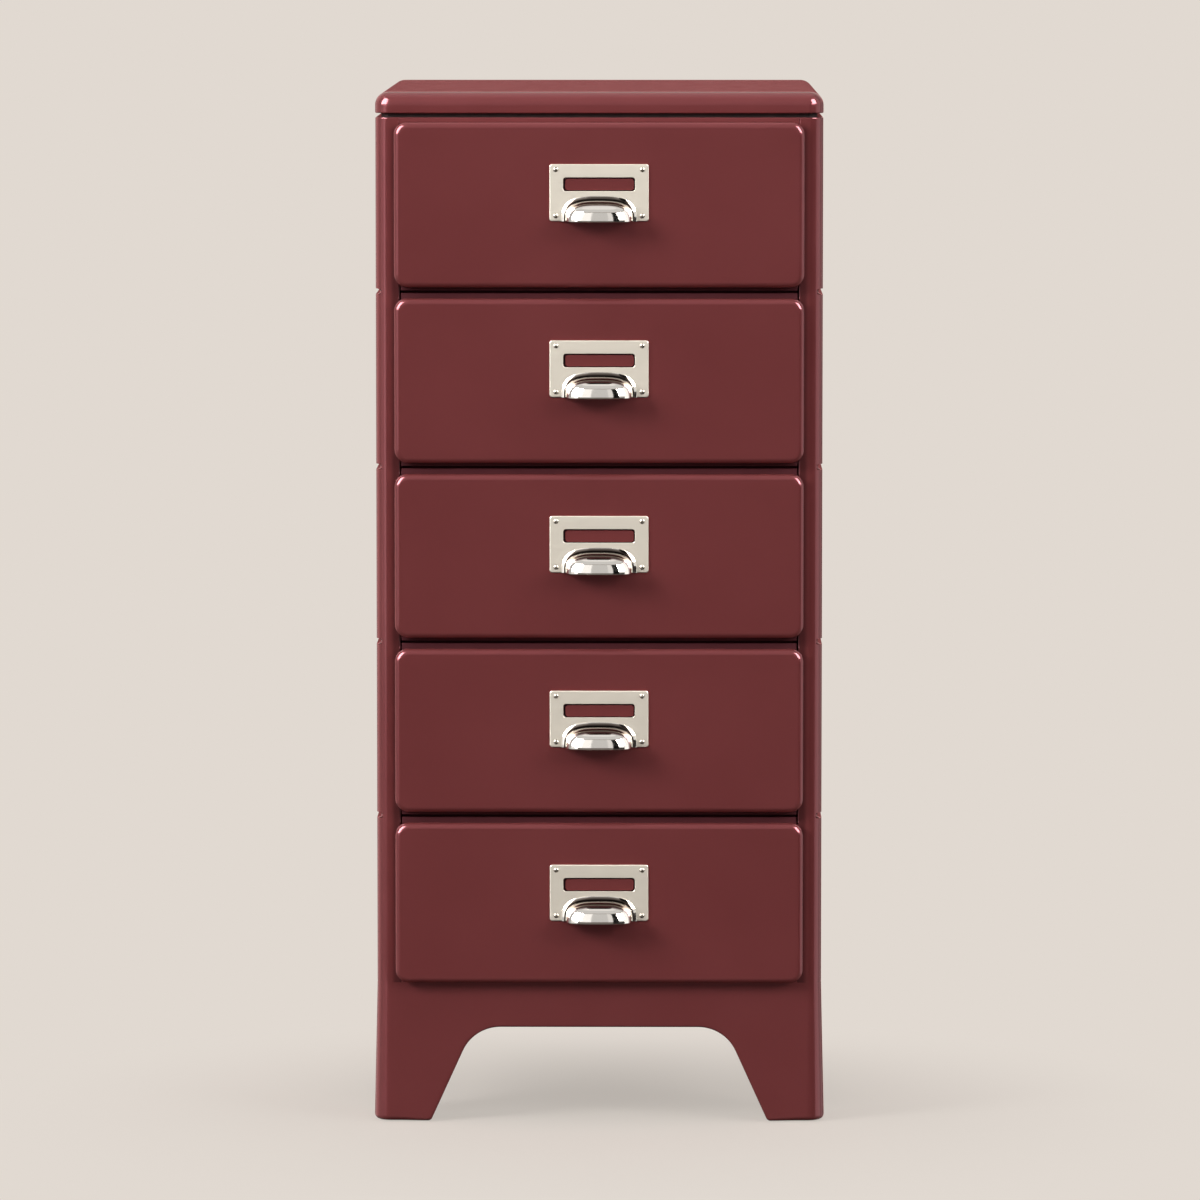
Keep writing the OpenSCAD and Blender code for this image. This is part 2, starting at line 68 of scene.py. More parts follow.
# base
BASE_FLARE = 2.4 * MM
BASE_LIP = 9 * MM
BASE_SHOULDER = 1.2 * MM
ARCH_H = 71.9 * MM
FOOT_W = 42.4 * MM
LEG_SLANT = 24.5
ARCH_R = 31 * MM
ARCH_LIP = 8 * MM
LEG_LIFT = 0.8 * MM
FOOT_CORNER_R = 3.4 * MM
FOOT_CURL_R = 4 * MM
ARCH_CURL_R = 1.8 * MM
TOE_CURL_R = 2.2 * MM
GLIDE_HALF = 9.5 * MM
GLIDE_INSET = 9 * MM
GLIDE_CORNER_R = 3 * MM

# drawers
FRONT_CORNER_R = 10 * MM
FRONT_EDGE_R = 4.5 * MM
FRONT_RIM_R = 0.5 * MM
FRONT_RIM_IN = 0.6 * MM
TRAY_HALF_W = 147.4 * MM
TRAY_CORNER_R = 2.4 * MM
TRAY_FOLD_R = 1.4 * MM
TRAY_HEM = 8 * MM
TRAVEL = 290 * MM
LUG_CLEAR = 0.3 * MM
LUG_W = 8 * MM
LUG_H = 10 * MM
LUG_RISE = 44 * MM

# label plate and cup
PLATE_T = 1.2 * MM
PLATE_CORNER_R = 2 * MM
PLATE_EDGE_R = 0.6 * MM
WINDOW_W = 53.7 * MM
WINDOW_H = 10.2 * MM
WINDOW_R = 2 * MM
WINDOW_EDGE_R = 0.25 * MM
WINDOW_DROP = 9.9 * MM
# the groove round the card's field: how far it reaches in from the left, right, bottom and top
GROOVE_IN = (1.7 * MM, 1.0 * MM, 0.7 * MM, 1.1 * MM)
GROOVE_OUT = 1 * MM
CARD_GROOVE = 1.2 * MM
CUP_T = 1.0 * MM
CUP_POWER = 3.0
CUP_PROFILE_POWER = 2.1
CUP_HALF_W = 25.4 * MM
CUP_H = 15.9 * MM
RIM_ROUND = 0.45 * MM
LEDGE_HALF_W = 28.2 * MM
LEDGE_H = 19 * MM
LEDGE_RISE = 2.9 * MM
FINGER_HALF_W = 24.2 * MM
FINGER_H = 15 * MM
# where the cup's nickel is painted dark, for the dark reflections and shade in its step: between these
# distances from the drawer and above this height, and on the rows of the crease under the dome
STEP_FOOT = (1.7 * MM, 2.2 * MM)
DARK_STEP_END = (13.5 * MM, 16.5 * MM)
STEP_SIDE = (6 * MM, 12 * MM)
CREASE_ROWS = (11, 12, 13)

# rivets
PIN_HEAD_R = 1.9 * MM
PIN_HEAD_H = 0.9 * MM
BACK_HEAD_R = 3.4 * MM
BACK_HEAD_H = 0.9 * MM

# where a colour mix node has its two colours and its result
MIX_COLOURS = (6, 7)
MIX_RESULT = 2

# camera
SENSOR = 36
LENS = 225.15
CAMERA_X = 41.3 * MM
CAMERA_BACK = 5604 * MM
CAMERA_Z = 915.2 * MM
CAMERA_YAW = -0.416
CAMERA_PITCH = 5.3
CLIP_END = 200

# floor and backdrop
FLOOR_R = 60
FLOOR_COLOUR = "c0b9b2"
FLOOR_BOUNCE = "6a6561"
FLOOR_GLOW = 0.63
SHADOW_CENTRE = (0, -0.16, 0)
SHADOW_FADE = (0.1, 0.5)
BACKDROP_COLOUR = "e1d9d1"
WHITE = "ffffff"
FILL = 0.27

# lamps, which reflections don't see: azimuth and elevation in degrees, 0 is straight ahead of the
# drawers and positive to the right; distance and side in metres; power in watts
AIM = Vector((0, 0, 0.4))
LAMPS = {
    "key": (-14, 30, 6.0, 1.7, 16),
    "left_front": (-57, 26, 5.0, 1.8, 205),
    "right_front": (54, 22, 5.0, 1.8, 104),
    "left_wash": (-105, 15, 5.0, 2.4, 25),
    "right_wash": (85, 20, 5.0, 2.4, 40),
    "overhead": (0, 85, 5.0, 3.0, 85),
}

# cards, which only reflections see: from and to azimuth, from and to elevation, distance, colour
# and strength
CARDS = {
    "key_window": ((-72, -24), (8, 49), 19.0, WHITE, 4.5),
    "key_window_core": ((-74, -29), (9, 54), 18.5, WHITE, 27),
    "left_near_high": ((-38, -33.5), (1, 50), 20.0, WHITE, 2.2),
    "left_near": ((-52, -38), (-6, 50), 20.0, WHITE, 2.5),
    "left_near_low": ((-52, -38), (-25, -6), 20.0, WHITE, 0.5),
    "left_glow": ((-78, -52), (-6, 50), 20.0, WHITE, 1.1),
    "left_glow_low": ((-78, -52), (-25, -6), 20.0, WHITE, 0.6),
    "left_dim": ((-100, -78), (-25, 50), 20.0, WHITE, 0.5),
    "left_far": ((-150, -100), (-25, 50), 20.0, "d8b4b2", 1.5),
    "front_left_panel": ((-31.5, -5), (1, 52), 20.0, WHITE, 1.25),
    "front_panel": ((-5, 6), (1, 52), 20.0, WHITE, 0.68),
    "front_right_panel": ((6, 15), (1, 52), 20.0, WHITE, 0.88),
    "right_flag": ((15, 33), (-16, 52), 19.0, "060505", 1.0),
    "left_flag": ((-33.5, -31.5), (-16, 52), 18.0, "060505", 1.0),
    "front_shade": ((-38, 15), (-25, 1), 19.5, "7a7370", 1.0),
    "right_shade": ((15, 62), (-25, 1), 18.8, "2a2625", 1.0),
    "ceiling_line": ((-180, 180), (52, 54), 22.0, "7d766f", 1.0),
    "ceiling_front": ((-90, 90), (54, 74), 22.0, WHITE, 0.72),
    "ceiling": ((-180, 180), (74, 89.5), 22.0, WHITE, 0.95),
    "ceiling_back": ((90, 270), (54, 74), 22.0, WHITE, 0.95),
    "right_window": ((32, 67), (12, 50), 19.0, WHITE, 26),
    "right_glow": ((33, 62), (-25, 52), 20.0, WHITE, 0.85),
    "right_mid": ((62, 102), (-25, 52), 20.0, WHITE, 1.3),
    "right_far": ((102, 140), (-25, 52), 20.0, WHITE, 0.5),
    "back_shade": ((140, 210), (-25, 8), 20.0, "824646", 1.0),
    "back_glow": ((140, 210), (8, 16), 20.0, "ffa8a8", 1.1),
    "floor_near": ((-180, 180), (-52, -25), 21.0, "8f8781", 1.0),
    "floor_shade": ((-180, 180), (-89.5, -52), 21.0, "2c2725", 1.0),
}
CARD_ROWS = 9
CARD_COLUMNS = 17
FLAG_GAP = 2 * MM
FLAG_HALF_W = 1.6
FLAG_H = 2.2
FLAG_GLOW = 0.8


# ---- plain helpers ----


def linear(hex_colour):
    """An sRGB hex colour as the linear colour that a shader takes."""
    channels = [int(hex_colour[i : i + 2], 16) / 255 for i in (0, 2, 4)]
    return tuple(c / 12.92 if c <= 0.04045 else ((c + 0.055) / 1.055) ** 2.4 for c in channels) + (1,)


def add_node(tree, kind, settings=None, **links):
    """Adds a node: settings are its attributes and socket values, links its inputs by name."""
    node = tree.nodes.new(kind)
    for key, value in (settings or {}).items():
        if hasattr(node, key):
            setattr(node, key, value)
        else:
            node.inputs[key].default_value = value
    for key, source in links.items():
        tree.links.new(source, node.inputs[key.replace("_", " ")])
    return node


def smooth_step(x, low, high):
    """0 below low, 1 above high and smooth between them."""
    t = min(max((x - low) / (high - low), 0), 1)
    return t * t * (3 - 2 * t)


def arc(centre, radius, start, end, steps=ARC_STEPS):
    """Points on an arc, with its angles in degrees."""
    angles = [math.radians(start + (end - start) * i / steps) for i in range(steps + 1)]
    return [(centre[0] + radius * math.cos(a), centre[1] + radius * math.sin(a)) for a in angles]


def rounded_ring(w, l, r, steps=ARC_STEPS):
    """Points round a w by l rectangle with corner radius r, anticlockwise."""
    points = []
    for k, (sx, sy) in enumerate(((1, 1), (-1, 1), (-1, -1), (1, -1))):
        centre = (sx * (w / 2 - r), sy * (l / 2 - r))
        points += arc(centre, r, 90 * k, 90 * k + 90, steps)
    return points


def swept_rings(w, l, r, section, steps=ARC_STEPS):
    """A section swept round a rectangle: each of its points is an inset and a height."""
    rings = []
    for inset, height in section:
        ring = rounded_ring(w - 2 * inset, l - 2 * inset, max(r - inset, 0.2 * MM), steps)
        rings.append([(x, y, height) for x, y in ring])
    return rings


def grid_mesh(rows, wrap=True, cap_start=False, cap_end=False):
    """A bmesh through rows of points of equal length. wrap closes each row on itself."""
    bm = bmesh.new()
    verts = [[bm.verts.new(p) for p in row] for row in rows]
    count = len(rows[0])
    for low, high in zip(verts, verts[1:]):
        for j in range(count if wrap else count - 1):
            k = (j + 1) % count
            bm.faces.new((low[j], low[k], high[k], high[j]))
    if cap_start:
        bm.faces.new(list(reversed(verts[0])))
    if cap_end:
        bm.faces.new(verts[-1])
    return bm


def plain_mesh(name, bm):
    """A mesh with the bmesh's faces; the bmesh is freed."""
    mesh = bpy.data.meshes.new(name)
    bm.to_mesh(mesh)
    bm.free()
    return mesh


def new_object(name, data):
    thing = bpy.data.objects.new(name, data)
    bpy.context.scene.collection.objects.link(thing)
    return thing


def join_meshes(bm, other):
    """Adds another bmesh's faces to the first one and frees it."""
    mesh = plain_mesh("part", other)
    bm.from_mesh(mesh)
    bpy.data.meshes.remove(mesh)


def moved(rows, place):
    """The rows of points with each point put in its place."""
    return [[place(*p) for p in row] for row in rows]


def bake_modifiers(piece):
    """Applies the piece's modifiers, so that its mesh is plain data."""
    graph = bpy.context.evaluated_depsgraph_get()
    piece.update_tag()
    graph.update()
    mesh = bpy.data.meshes.new_from_object(piece.evaluated_get(graph), depsgraph=graph)
    old = piece.data
    piece.modifiers.clear()
    piece.data = mesh
    bpy.data.meshes.remove(old)


def add_piece(name, bm, body, material, nodes=(), wall=0, bevel=0, sharp=38, outward=False):
    """Makes a finished piece: wall gives a skin its thickness inwards, bevel softens its edges,
    sharp is the angle from which an edge stays sharp, outward turns the normals out."""
    bmesh.ops.remove_doubles(bm, verts=bm.verts, dist=0.01 * MM)
    if outward:
        bmesh.ops.recalc_face_normals(bm, faces=bm.faces)
    piece = new_object(name, plain_mesh(name, bm))
    piece.data.materials.append(material)
    if wall:
        solid = piece.modifiers.new("wall", "SOLIDIFY")
        solid.thickness = wall
        solid.offset = -1
        solid.use_even_offset = True
        bake_modifiers(piece)
    if bevel:
        soft = piece.modifiers.new("soft_edges", "BEVEL")
        soft.width = bevel
        soft.segments = 2
        soft.limit_method = "ANGLE"
        soft.angle_limit = math.radians(40)
        soft.use_clamp_overlap = True
        bake_modifiers(piece)
    piece.data.shade_smooth()
    piece.data.set_sharp_from_angle(angle=math.radians(sharp))
    weighted = piece.modifiers.new("normals", "WEIGHTED_NORMAL")
    weighted.keep_sharp = True
    weighted.mode = "FACE_AREA"
    bake_modifiers(piece)
    piece.data.name = name
    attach(piece, body)
    if nodes:
        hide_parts(*nodes)


def box_faces(bm, low, high):
    """Adds a closed box between two corners."""
    corners = [(x, y, z) for z in (low[2], high[2]) for x, y in
               ((low[0], low[1]), (high[0], low[1]), (high[0], high[1]), (low[0], high[1]))]
    v = [bm.verts.new(c) for c in corners]
    for quad in ((3, 2, 1, 0), (4, 5, 6, 7), (0, 1, 5, 4), (1, 2, 6, 5), (2, 3, 7, 6), (3, 0, 4, 7)):
        bm.faces.new([v[i] for i in quad])


def node_copy(node):
    """A clean copy of a node's mesh: doubles merged and flat faces joined."""
    bm = bmesh.new()
    bm.from_mesh(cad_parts[node].data)
    bmesh.ops.remove_doubles(bm, verts=bm.verts, dist=0.005 * MM)
    bmesh.ops.dissolve_limit(bm, angle_limit=math.radians(2), verts=bm.verts, edges=bm.edges)
    return bm


# ---- materials ----


def new_material(name):
    material = bpy.data.materials.new(name)
    material.use_nodes = True
    tree = material.node_tree
    return material, tree, tree.nodes["Principled BSDF"]


def feed(tree, node, inputs):
    """Gives a node's inputs, by name or number, a value each or another node's output."""
    for key, value in inputs.items():
        if isinstance(value, bpy.types.NodeSocket):
            tree.links.new(value, node.inputs[key])
        else:
            node.inputs[key].default_value = value


def blend(tree, factor, *colours):
    """A mix of two colours, each a hex colour or another node's output."""
    mix = add_node(tree, "ShaderNodeMix", {"data_type": "RGBA"}, Factor=factor)
    values = [linear(colour) if isinstance(colour, str) else colour for colour in colours]
    feed(tree, mix, dict(zip(MIX_COLOURS, values)))
    return mix.outputs[MIX_RESULT]


def object_noise(tree, size, detail=2):
    """Noise on the object's own coordinates, with features of the given size."""
    place = add_node(tree, "ShaderNodeTexCoord")
    noise = add_node(tree, "ShaderNodeTexNoise", {"Scale": 1 / size, "Detail": detail},
                     Vector=place.outputs["Object"])
    return noise.outputs["Fac"]


def ranged(tree, noise, low, high):
    """The noise's usual values spread over a range."""
    settings = {"To Min": low, "To Max": high, "From Min": 0.3, "From Max": 0.7}
    return add_node(tree, "ShaderNodeMapRange", settings, Value=noise).outputs["Result"]


def mottled(tree, noise, first, second):
    """Two hex colours in the noise's soft patches."""
    return blend(tree, ranged(tree, noise, 0, 1), first, second)


def bumped(tree, height, strength, distance):
    settings = {"Strength": strength, "Distance": distance}
    return add_node(tree, "ShaderNodeBump", settings, Height=height).outputs["Normal"]


def vertex_share(tree, layer):
    """The share that a vertex layer gives, 0 where there is none."""
    return add_node(tree, "ShaderNodeAttribute", {"attribute_name": layer}).outputs["Fac"]


def stoved_enamel(name, colour, deeper, gloss, coat, ior):
    """Stoved enamel on pressed steel: even dark oxide red, a satin gloss with a clear bright
    highlight on each rounded edge, a faint orange peel and slightly uneven tone."""
    material, tree, shader = new_material(name)
    painted = mottled(tree, object_noise(tree, 90 * MM), colour, deeper)
    rub = object_noise(tree, 14 * MM, detail=3)
    # orange peel is 1 to 3 mm across
    peel = object_noise(tree, 2.4 * MM, detail=1)
    feed(tree, shader, {
        # painted shade: a vertex layer darkens the colour towards near black on the flanges beside the
        # drawers, at the grooves' ends and round the card's field
        "Base Color": blend(tree, vertex_share(tree, "painted_shade_share"), painted, "140909"),
        "Roughness": ranged(tree, rub, gloss - 0.02, gloss + 0.03),
        "IOR": ior,
        "Specular Tint": linear("ff8e9c"),
        "Coat Weight": coat,
        "Coat Roughness": 0.08,
        "Normal": bumped(tree, peel, 0.25, 0.01 * MM),
    })
    return material


def brushed_nickel(name):
    """Nickel plate over a brushed steel stamping: warm pale grey, a soft satin sheen drawn out
    along X by the brushing."""
    material, tree, shader = new_material(name)
    place = add_node(tree, "ShaderNodeTexCoord")
    # brush lines are 0.1 mm apart; they are drawn 0.35 mm apart so that they show
    stretch = add_node(tree, "ShaderNodeMapping", {"Scale": (1 / (9 * MM), 1 / (9 * MM), 1 / (0.35 * MM))},
                       Vector=place.outputs["Object"])
    lines = add_node(tree, "ShaderNodeTexNoise", {"Scale": 1.0, "Detail": 2},
                     Vector=stretch.outputs["Vector"]).outputs["Fac"]
    feed(tree, shader, {
        "Base Color": linear("b9b2a6"),
        "Metallic": 1.0,
        "Roughness": ranged(tree, lines, 0.37, 0.43),
        "Normal": bumped(tree, lines, 0.05, 0.01 * MM),
    })
    return material


def bright_nickel(name):
    """Bright nickel plate on the cup: mirror reflections with a slight waviness of the pressing; darker in
    the step over the dome and in its crease, a painted dark reflection and shade."""
    material, tree, shader = new_material(name)
    rub = object_noise(tree, 4 * MM)
    waves = object_noise(tree, 9 * MM, detail=1)
    feed(tree, shader, {
        # painted reflection and shade: a vertex layer darkens the step and the crease to a dark grey-brown
        "Base Color": blend(tree, vertex_share(tree, "painted_dark_reflection"), "e6e0d8", "665c55"),
        "Metallic": 1.0,
        "Roughness": ranged(tree, rub, 0.05, 0.09),
        "Normal": bumped(tree, waves, 0.15, 0.02 * MM),
    })
    return material


def satin_nickel(name):
    """Satin nickel plate on the small rivet heads, with a soft highlight on each."""
    material, tree, shader = new_material(name)
    tone = object_noise(tree, 1.5 * MM)
    feed(tree, shader, {
        "Base Color": mottled(tree, tone, "8a847b", "989289"),
        "Metallic": 1.0,
        "Roughness": ranged(tree, tone, 0.24, 0.3),
    })
    return material


def painted_shade_black_red(name):
    """Dull, nearly black red: painted shade for the shadow gap under the cover."""
    material, tree, shader = new_material(name)
    tone = object_noise(tree, 8 * MM, detail=3)
    feed(tree, shader, {
        "Base Color": mottled(tree, tone, "1c0e0e", "2a1515"),
        "Roughness": 0.7,
        "Specular IOR Level": 0.12,
    })
    return material


def zinc_plate(name):
    """Zinc plate on rolled steel: cool grey with the soft cloudy spangle of plated sheet."""
    material, tree, shader = new_material(name)
    cloud = object_noise(tree, 12 * MM, detail=4)
    feed(tree, shader, {
        "Base Color": mottled(tree, cloud, "a6a8a6", "bcbdb9"),
        "Metallic": 1.0,
        "Roughness": ranged(tree, cloud, 0.34, 0.5),
    })
    return material


def moulded_nylon(name):
    """Moulded black nylon: near black, dull, with the fine spark-eroded grain of its mould."""
    material, tree, shader = new_material(name)
    grain = object_noise(tree, 0.6 * MM)
    feed(tree, shader, {
        "Base Color": mottled(tree, grain, "181717", "252322"),
        "Roughness": 0.55,
        "IOR": 1.53,
        "Normal": bumped(tree, grain, 0.3, 0.03 * MM),
    })
    return material


# ---- top ----


def top_cover():
    """The raised cover: a pan with a 10 mm edge, a small rolled hem and a lip under it."""
    low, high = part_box("top_cover")
    w, l, h = high.x - low.x, high.y - low.y, high.z - low.z
    section = [(COVER_LIP, 0)] + arc((COVER_HEM_R, COVER_HEM_R), COVER_HEM_R, 270, 180, 5)
    section += arc((COVER_EDGE_R, h - COVER_EDGE_R), COVER_EDGE_R, 180, 90, 16)
    rows = swept_rings(w, l, COVER_CORNER_R, section)
    centre_y = (low.y + high.y) / 2
    rows = moved(rows, lambda x, y, z: (x, y + centre_y, z + low.z))
    bm = grid_mesh(rows, cap_end=True)
    add_piece("raised_top_cover", bm, CABINET, enamel, ["top_cover"], wall=COVER_T)


def top_deck():
    """The body's top: a rounded rim, the neck that makes the shadow gap and the flat under the cover."""
    low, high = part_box("side_panel_left")
    cover_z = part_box("top_cover")[0].z
    rim_z = high.z + SHEET_T
    w, l = -2 * low.x, high.y - low.y
    centre_y = (low.y + high.y) / 2
    rim = arc((DECK_EDGE_R, rim_z - DECK_EDGE_R), DECK_EDGE_R, 180, 90, 5)
    rim += [(DECK_RECESS + SHEET_T, rim_z)]
    neck = [(DECK_RECESS, rim_z - SHEET_T), (DECK_RECESS, cover_z), (DECK_RECESS + NECK_LIP, cover_z)]
    # the neck is painted nearly black as shade, so that the gap under the cover reads dark
    for name, section, material, closed in (("deck_rim", rim, enamel, False),
                                            ("deck_neck", neck, neck_shade_paint, True)):
        rows = swept_rings(w, l, CORNER_R, section)
        rows = moved(rows, lambda x, y, z: (x, y + centre_y, z))
        add_piece(name, grid_mesh(rows, cap_end=closed), CABINET, material,
                  ["top_panel"], wall=SHEET_T)


# ---- side panels ----


def side_path():
    """Plan of the left side panel from the lip behind the front flange to the back return: rows
    of x, y, outward normal and the angle from the side, 90 on the flange and 0 behind the corner."""
    low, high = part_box("side_panel_left")
    opening_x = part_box("top_rail")[0].x
    path = [(opening_x, low.y + FLANGE_LIP, 1, 0, 90)]
    turns = (
        (opening_x - FLANGE_FOLD_R, low.y + FLANGE_FOLD_R, FLANGE_FOLD_R, 0, -90, 6),
        (low.x + CORNER_R, low.y + CORNER_R, CORNER_R, -90, -180, 30),
        (low.x + CORNER_R, high.y - CORNER_R, CORNER_R, 180, 90, 12),
    )
    for cx, cy, r, start, end, steps in turns:
        for i in range(steps + 1):
            angle = start + (end - start) * i / steps
            nx, ny = math.cos(math.radians(angle)), math.sin(math.radians(angle))
            from_side = 180 + angle if r == CORNER_R and start == -90 else (90 if start == 0 else 0)
            path.append((cx + r * nx, cy + r * ny, nx, ny, from_side))
        if start == 0:
            path += flange_columns(low)
        if start == -90:
            path += side_columns(low, high)
    path.append((low.x + BACK_RETURN, high.y, 0, 1, 0))
    return path


def flange_columns(low):
    """The front flange's own columns, where its painted shade fades out."""
    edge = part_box("drawer_1_front")[0].x
    corner = low.x + CORNER_R
    return [(edge + (corner - edge) * k / 4, low.y, 0, -1, 90) for k in range(4)]


def flange_shade_share(x, edge, corner):
    """Share of painted shade on the flange: darkest by the opening beside the drawers, fading out towards the
    corner."""
    return FLANGE_SHADE_MAX * smooth_step((corner - x) / (corner - edge), -0.15, 1.1)


def side_columns(low, high):
    """The flat side's own columns, closer together where the grooves end."""
    end = high.y - CORNER_R
    ys = list(np.linspace(low.y + CORNER_R, end - 3 * GROOVE_HALF, 8)[1:])
    ys += list(np.linspace(end - 2.6 * GROOVE_HALF, end, 9)[:-1])
    return [(low.x, y, -1, 0, 0) for y in ys]


def running_length(path):
    """Each point's distance along the path."""
    lengths = [0.0]
    for a, b in zip(path, path[1:]):
        lengths.append(lengths[-1] + math.hypot(b[0] - a[0], b[1] - a[1]))
    return lengths


def groove_heights():
    """Middle height of the groove beside each divider rail."""
    middles = []
    for n in DRAWERS[:-1]:
        low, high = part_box(f"divider_rail_{n}")
        middles.append((low.z + high.z) / 2)
    return middles


def panel_heights(low_z, high_z, grooves):
    """Heights of the panel's rows, closer together at the seam, across each groove and where the flange's
    painted shade ends beside the first drawer."""
    across = [GROOVE_HALF * k for k in (0, 0.2, 0.4, 0.58, 0.73, 0.85, 0.93, 0.98, 1.02, 1.15)]
    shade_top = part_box("drawer_1_front")[1].z
    heights = [low_z, low_z + 0.45 * SEAM_HALF, low_z + SEAM_HALF, high_z]
    heights += [shade_top - SHADE_FADE_H * k / 3 for k in range(4)]
    for z in grooves:
        heights += [z + s * d for d in across for s in (-1, 1)]
    return sorted(set(heights))


def groove_press(along, across):
    """Depth of a groove: round in section, with a ball-shaped end."""
    reach = math.hypot(along, across) / GROOVE_HALF
    return GROOVE_DEPTH * math.sqrt(max(0, 1 - reach * reach))


def side_panels():
    """Both side panels: flange, corner, side and back return in one skin, with pressed grooves. A vertex
    layer holds the share of painted shade."""
    low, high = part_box("side_panel_left")
    path = side_path()
    lengths = running_length(path)
    wrapped = math.radians(GROOVE_WRAP) * CORNER_R - GROOVE_HALF
    side_start = next(s for s, p in zip(lengths, path) if p[4] == 0)
    start = side_start - wrapped
    end = side_start + (high.y - low.y - 2 * CORNER_R) - GROOVE_HALF
    grooves = groove_heights()
    first_low, first_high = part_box("drawer_1_front")
    shade_top = first_high.z
    rows, shades = [], []
    for z in panel_heights(low.z, high.z, grooves):
        row, shade = [], []
        seam = SEAM_DEPTH * max(0, 1 - (z - low.z) / SEAM_HALF) ** 2
        below = 1 - smooth_step(z, shade_top - SHADE_FADE_H, shade_top)
        for s, (x, y, nx, ny, from_side) in zip(lengths, path):
            along = max(start - s, s - end, 0)
            depth = max(groove_press(along, z - g) for g in grooves)
            # painted shade: the flange beside the drawers and the deep ball end of each groove are darkened
            # towards near black
            blind = 1 - smooth_step(s, start, start + BLIND_END)
            flange_dark = below * flange_shade_share(x, first_low.x, low.x + CORNER_R) if from_side == 90 else 0
            shade.append(max(flange_dark, blind * smooth_step(depth / GROOVE_DEPTH, 0.35, 0.7)))
            depth += seam * (1 - smooth_step(from_side, *SEAM_FADE))
            row.append((x - nx * depth, y - ny * depth, z))
        rows.append(row)
        shades.append(shade)
    for side, sign in (("left", 1), ("right", -1)):
        placed = moved(rows, lambda x, y, z: (sign * x, y, z))
        painted = shades
        if side == "left":
            placed.reverse()
            painted = shades[::-1]
        bm = grid_mesh(placed, wrap=False)
        painted_shade_share = bm.verts.layers.float.new("painted_shade_share")
        for vert, shade in zip(bm.verts, (share for row in painted for share in row)):
            vert[painted_shade_share] = shade
        add_piece(f"side_skin_{side}", bm, CABINET, enamel,
                  [f"side_panel_{side}"], wall=SHEET_T)


# ---- base ----


def wall_outline(half_run, half_w):
    """The lower edge of one base wall, from its left end to its right: rows of place along the
    wall, height, the direction out of the metal at that edge, and the curl's radius."""
    lift, rc = LEG_LIFT, FOOT_CORNER_R
    slant = math.radians(LEG_SLANT)
    toe_z = lift + rc
    toe_x = half_w + (rc - toe_z * math.sin(slant)) / math.cos(slant)
    knee_x = half_w - ARCH_H * math.tan(slant)
    turn = math.radians(90 - LEG_SLANT)
    fillet_x = knee_x - ARCH_R * math.tan(turn / 2)
    fillet_z = ARCH_H - ARCH_R
    half = []
    for t in np.linspace(half_run, toe_x, 9)[:-1]:
        near = smooth_step((t - toe_x) / (half_run - toe_x), 0, 0.8)
        half.append((t, lift, 0, -1, TOE_CURL_R + (FOOT_CURL_R - TOE_CURL_R) * near))
    for i in range(9):
        a = math.radians(-90 - (90 - LEG_SLANT) * i / 8)
        ex, ez = math.cos(a), math.sin(a)
        half.append((toe_x + rc * ex, toe_z + rc * ez, ex, ez, TOE_CURL_R))
    for i in range(1, 7):
        z = toe_z + (fillet_z + ARCH_R * math.sin(slant) - toe_z) * i / 7
        half.append((half_w - z * math.tan(slant), z, -math.cos(slant), -math.sin(slant), ARCH_CURL_R))
    for i in range(15):
        a = slant + turn * i / 14
        ex, ez = math.cos(a), math.sin(a)
        half.append((fillet_x + ARCH_R * ex, fillet_z + ARCH_R * ez, -ex, -ez, ARCH_CURL_R))
    half += [(t, ARCH_H, 0, -1, ARCH_CURL_R) for t in np.linspace(fillet_x, 0, 6)[1:-1]]
    left = [(-t, z, -ex, ez, r) for t, z, ex, ez, r in half]
    middle = [(0, ARCH_H, 0, -1, ARCH_CURL_R)]
    return left + middle + half[::-1]


def base_column(place, edge, top, seam):
    """One column of the base's skin: top lip, wall, curled edge and inward lip. place(t, off)
    gives a point in plan at t along the wall and off outwards; seam is the seam's share here."""
    t, z, et, ez, curl = edge

    def flare(height):
        return BASE_FLARE * (top - height) / (top - LEG_LIFT)

    t0, z0 = t - curl * et, z - curl * ez
    rows = [(t0, -BASE_LIP, top), (t0, -BASE_SHOULDER, top)]
    for drop, recess in ((0, SEAM_DEPTH), (0.45 * SEAM_HALF, 0.3 * SEAM_DEPTH), (SEAM_HALF, 0)):
        rows.append((t0, flare(top - drop) - recess * seam, top - drop))
    start = top - SEAM_HALF
    for i in range(1, 9):
        height = start + (z0 - start) * i / 8
        rows.append((t0, flare(height), height))
    foot = flare(z0)
    for i in range(1, 7):
        a = math.radians(90 * i / 6)
        out, inward = curl * math.sin(a), curl * (1 - math.cos(a))
        rows.append((t0 + out * et, foot - inward, z0 + out * ez))
    rows.append((t, foot - ARCH_LIP, z))
    return [place(tt, off) + (zz,) for tt, off, zz in rows]


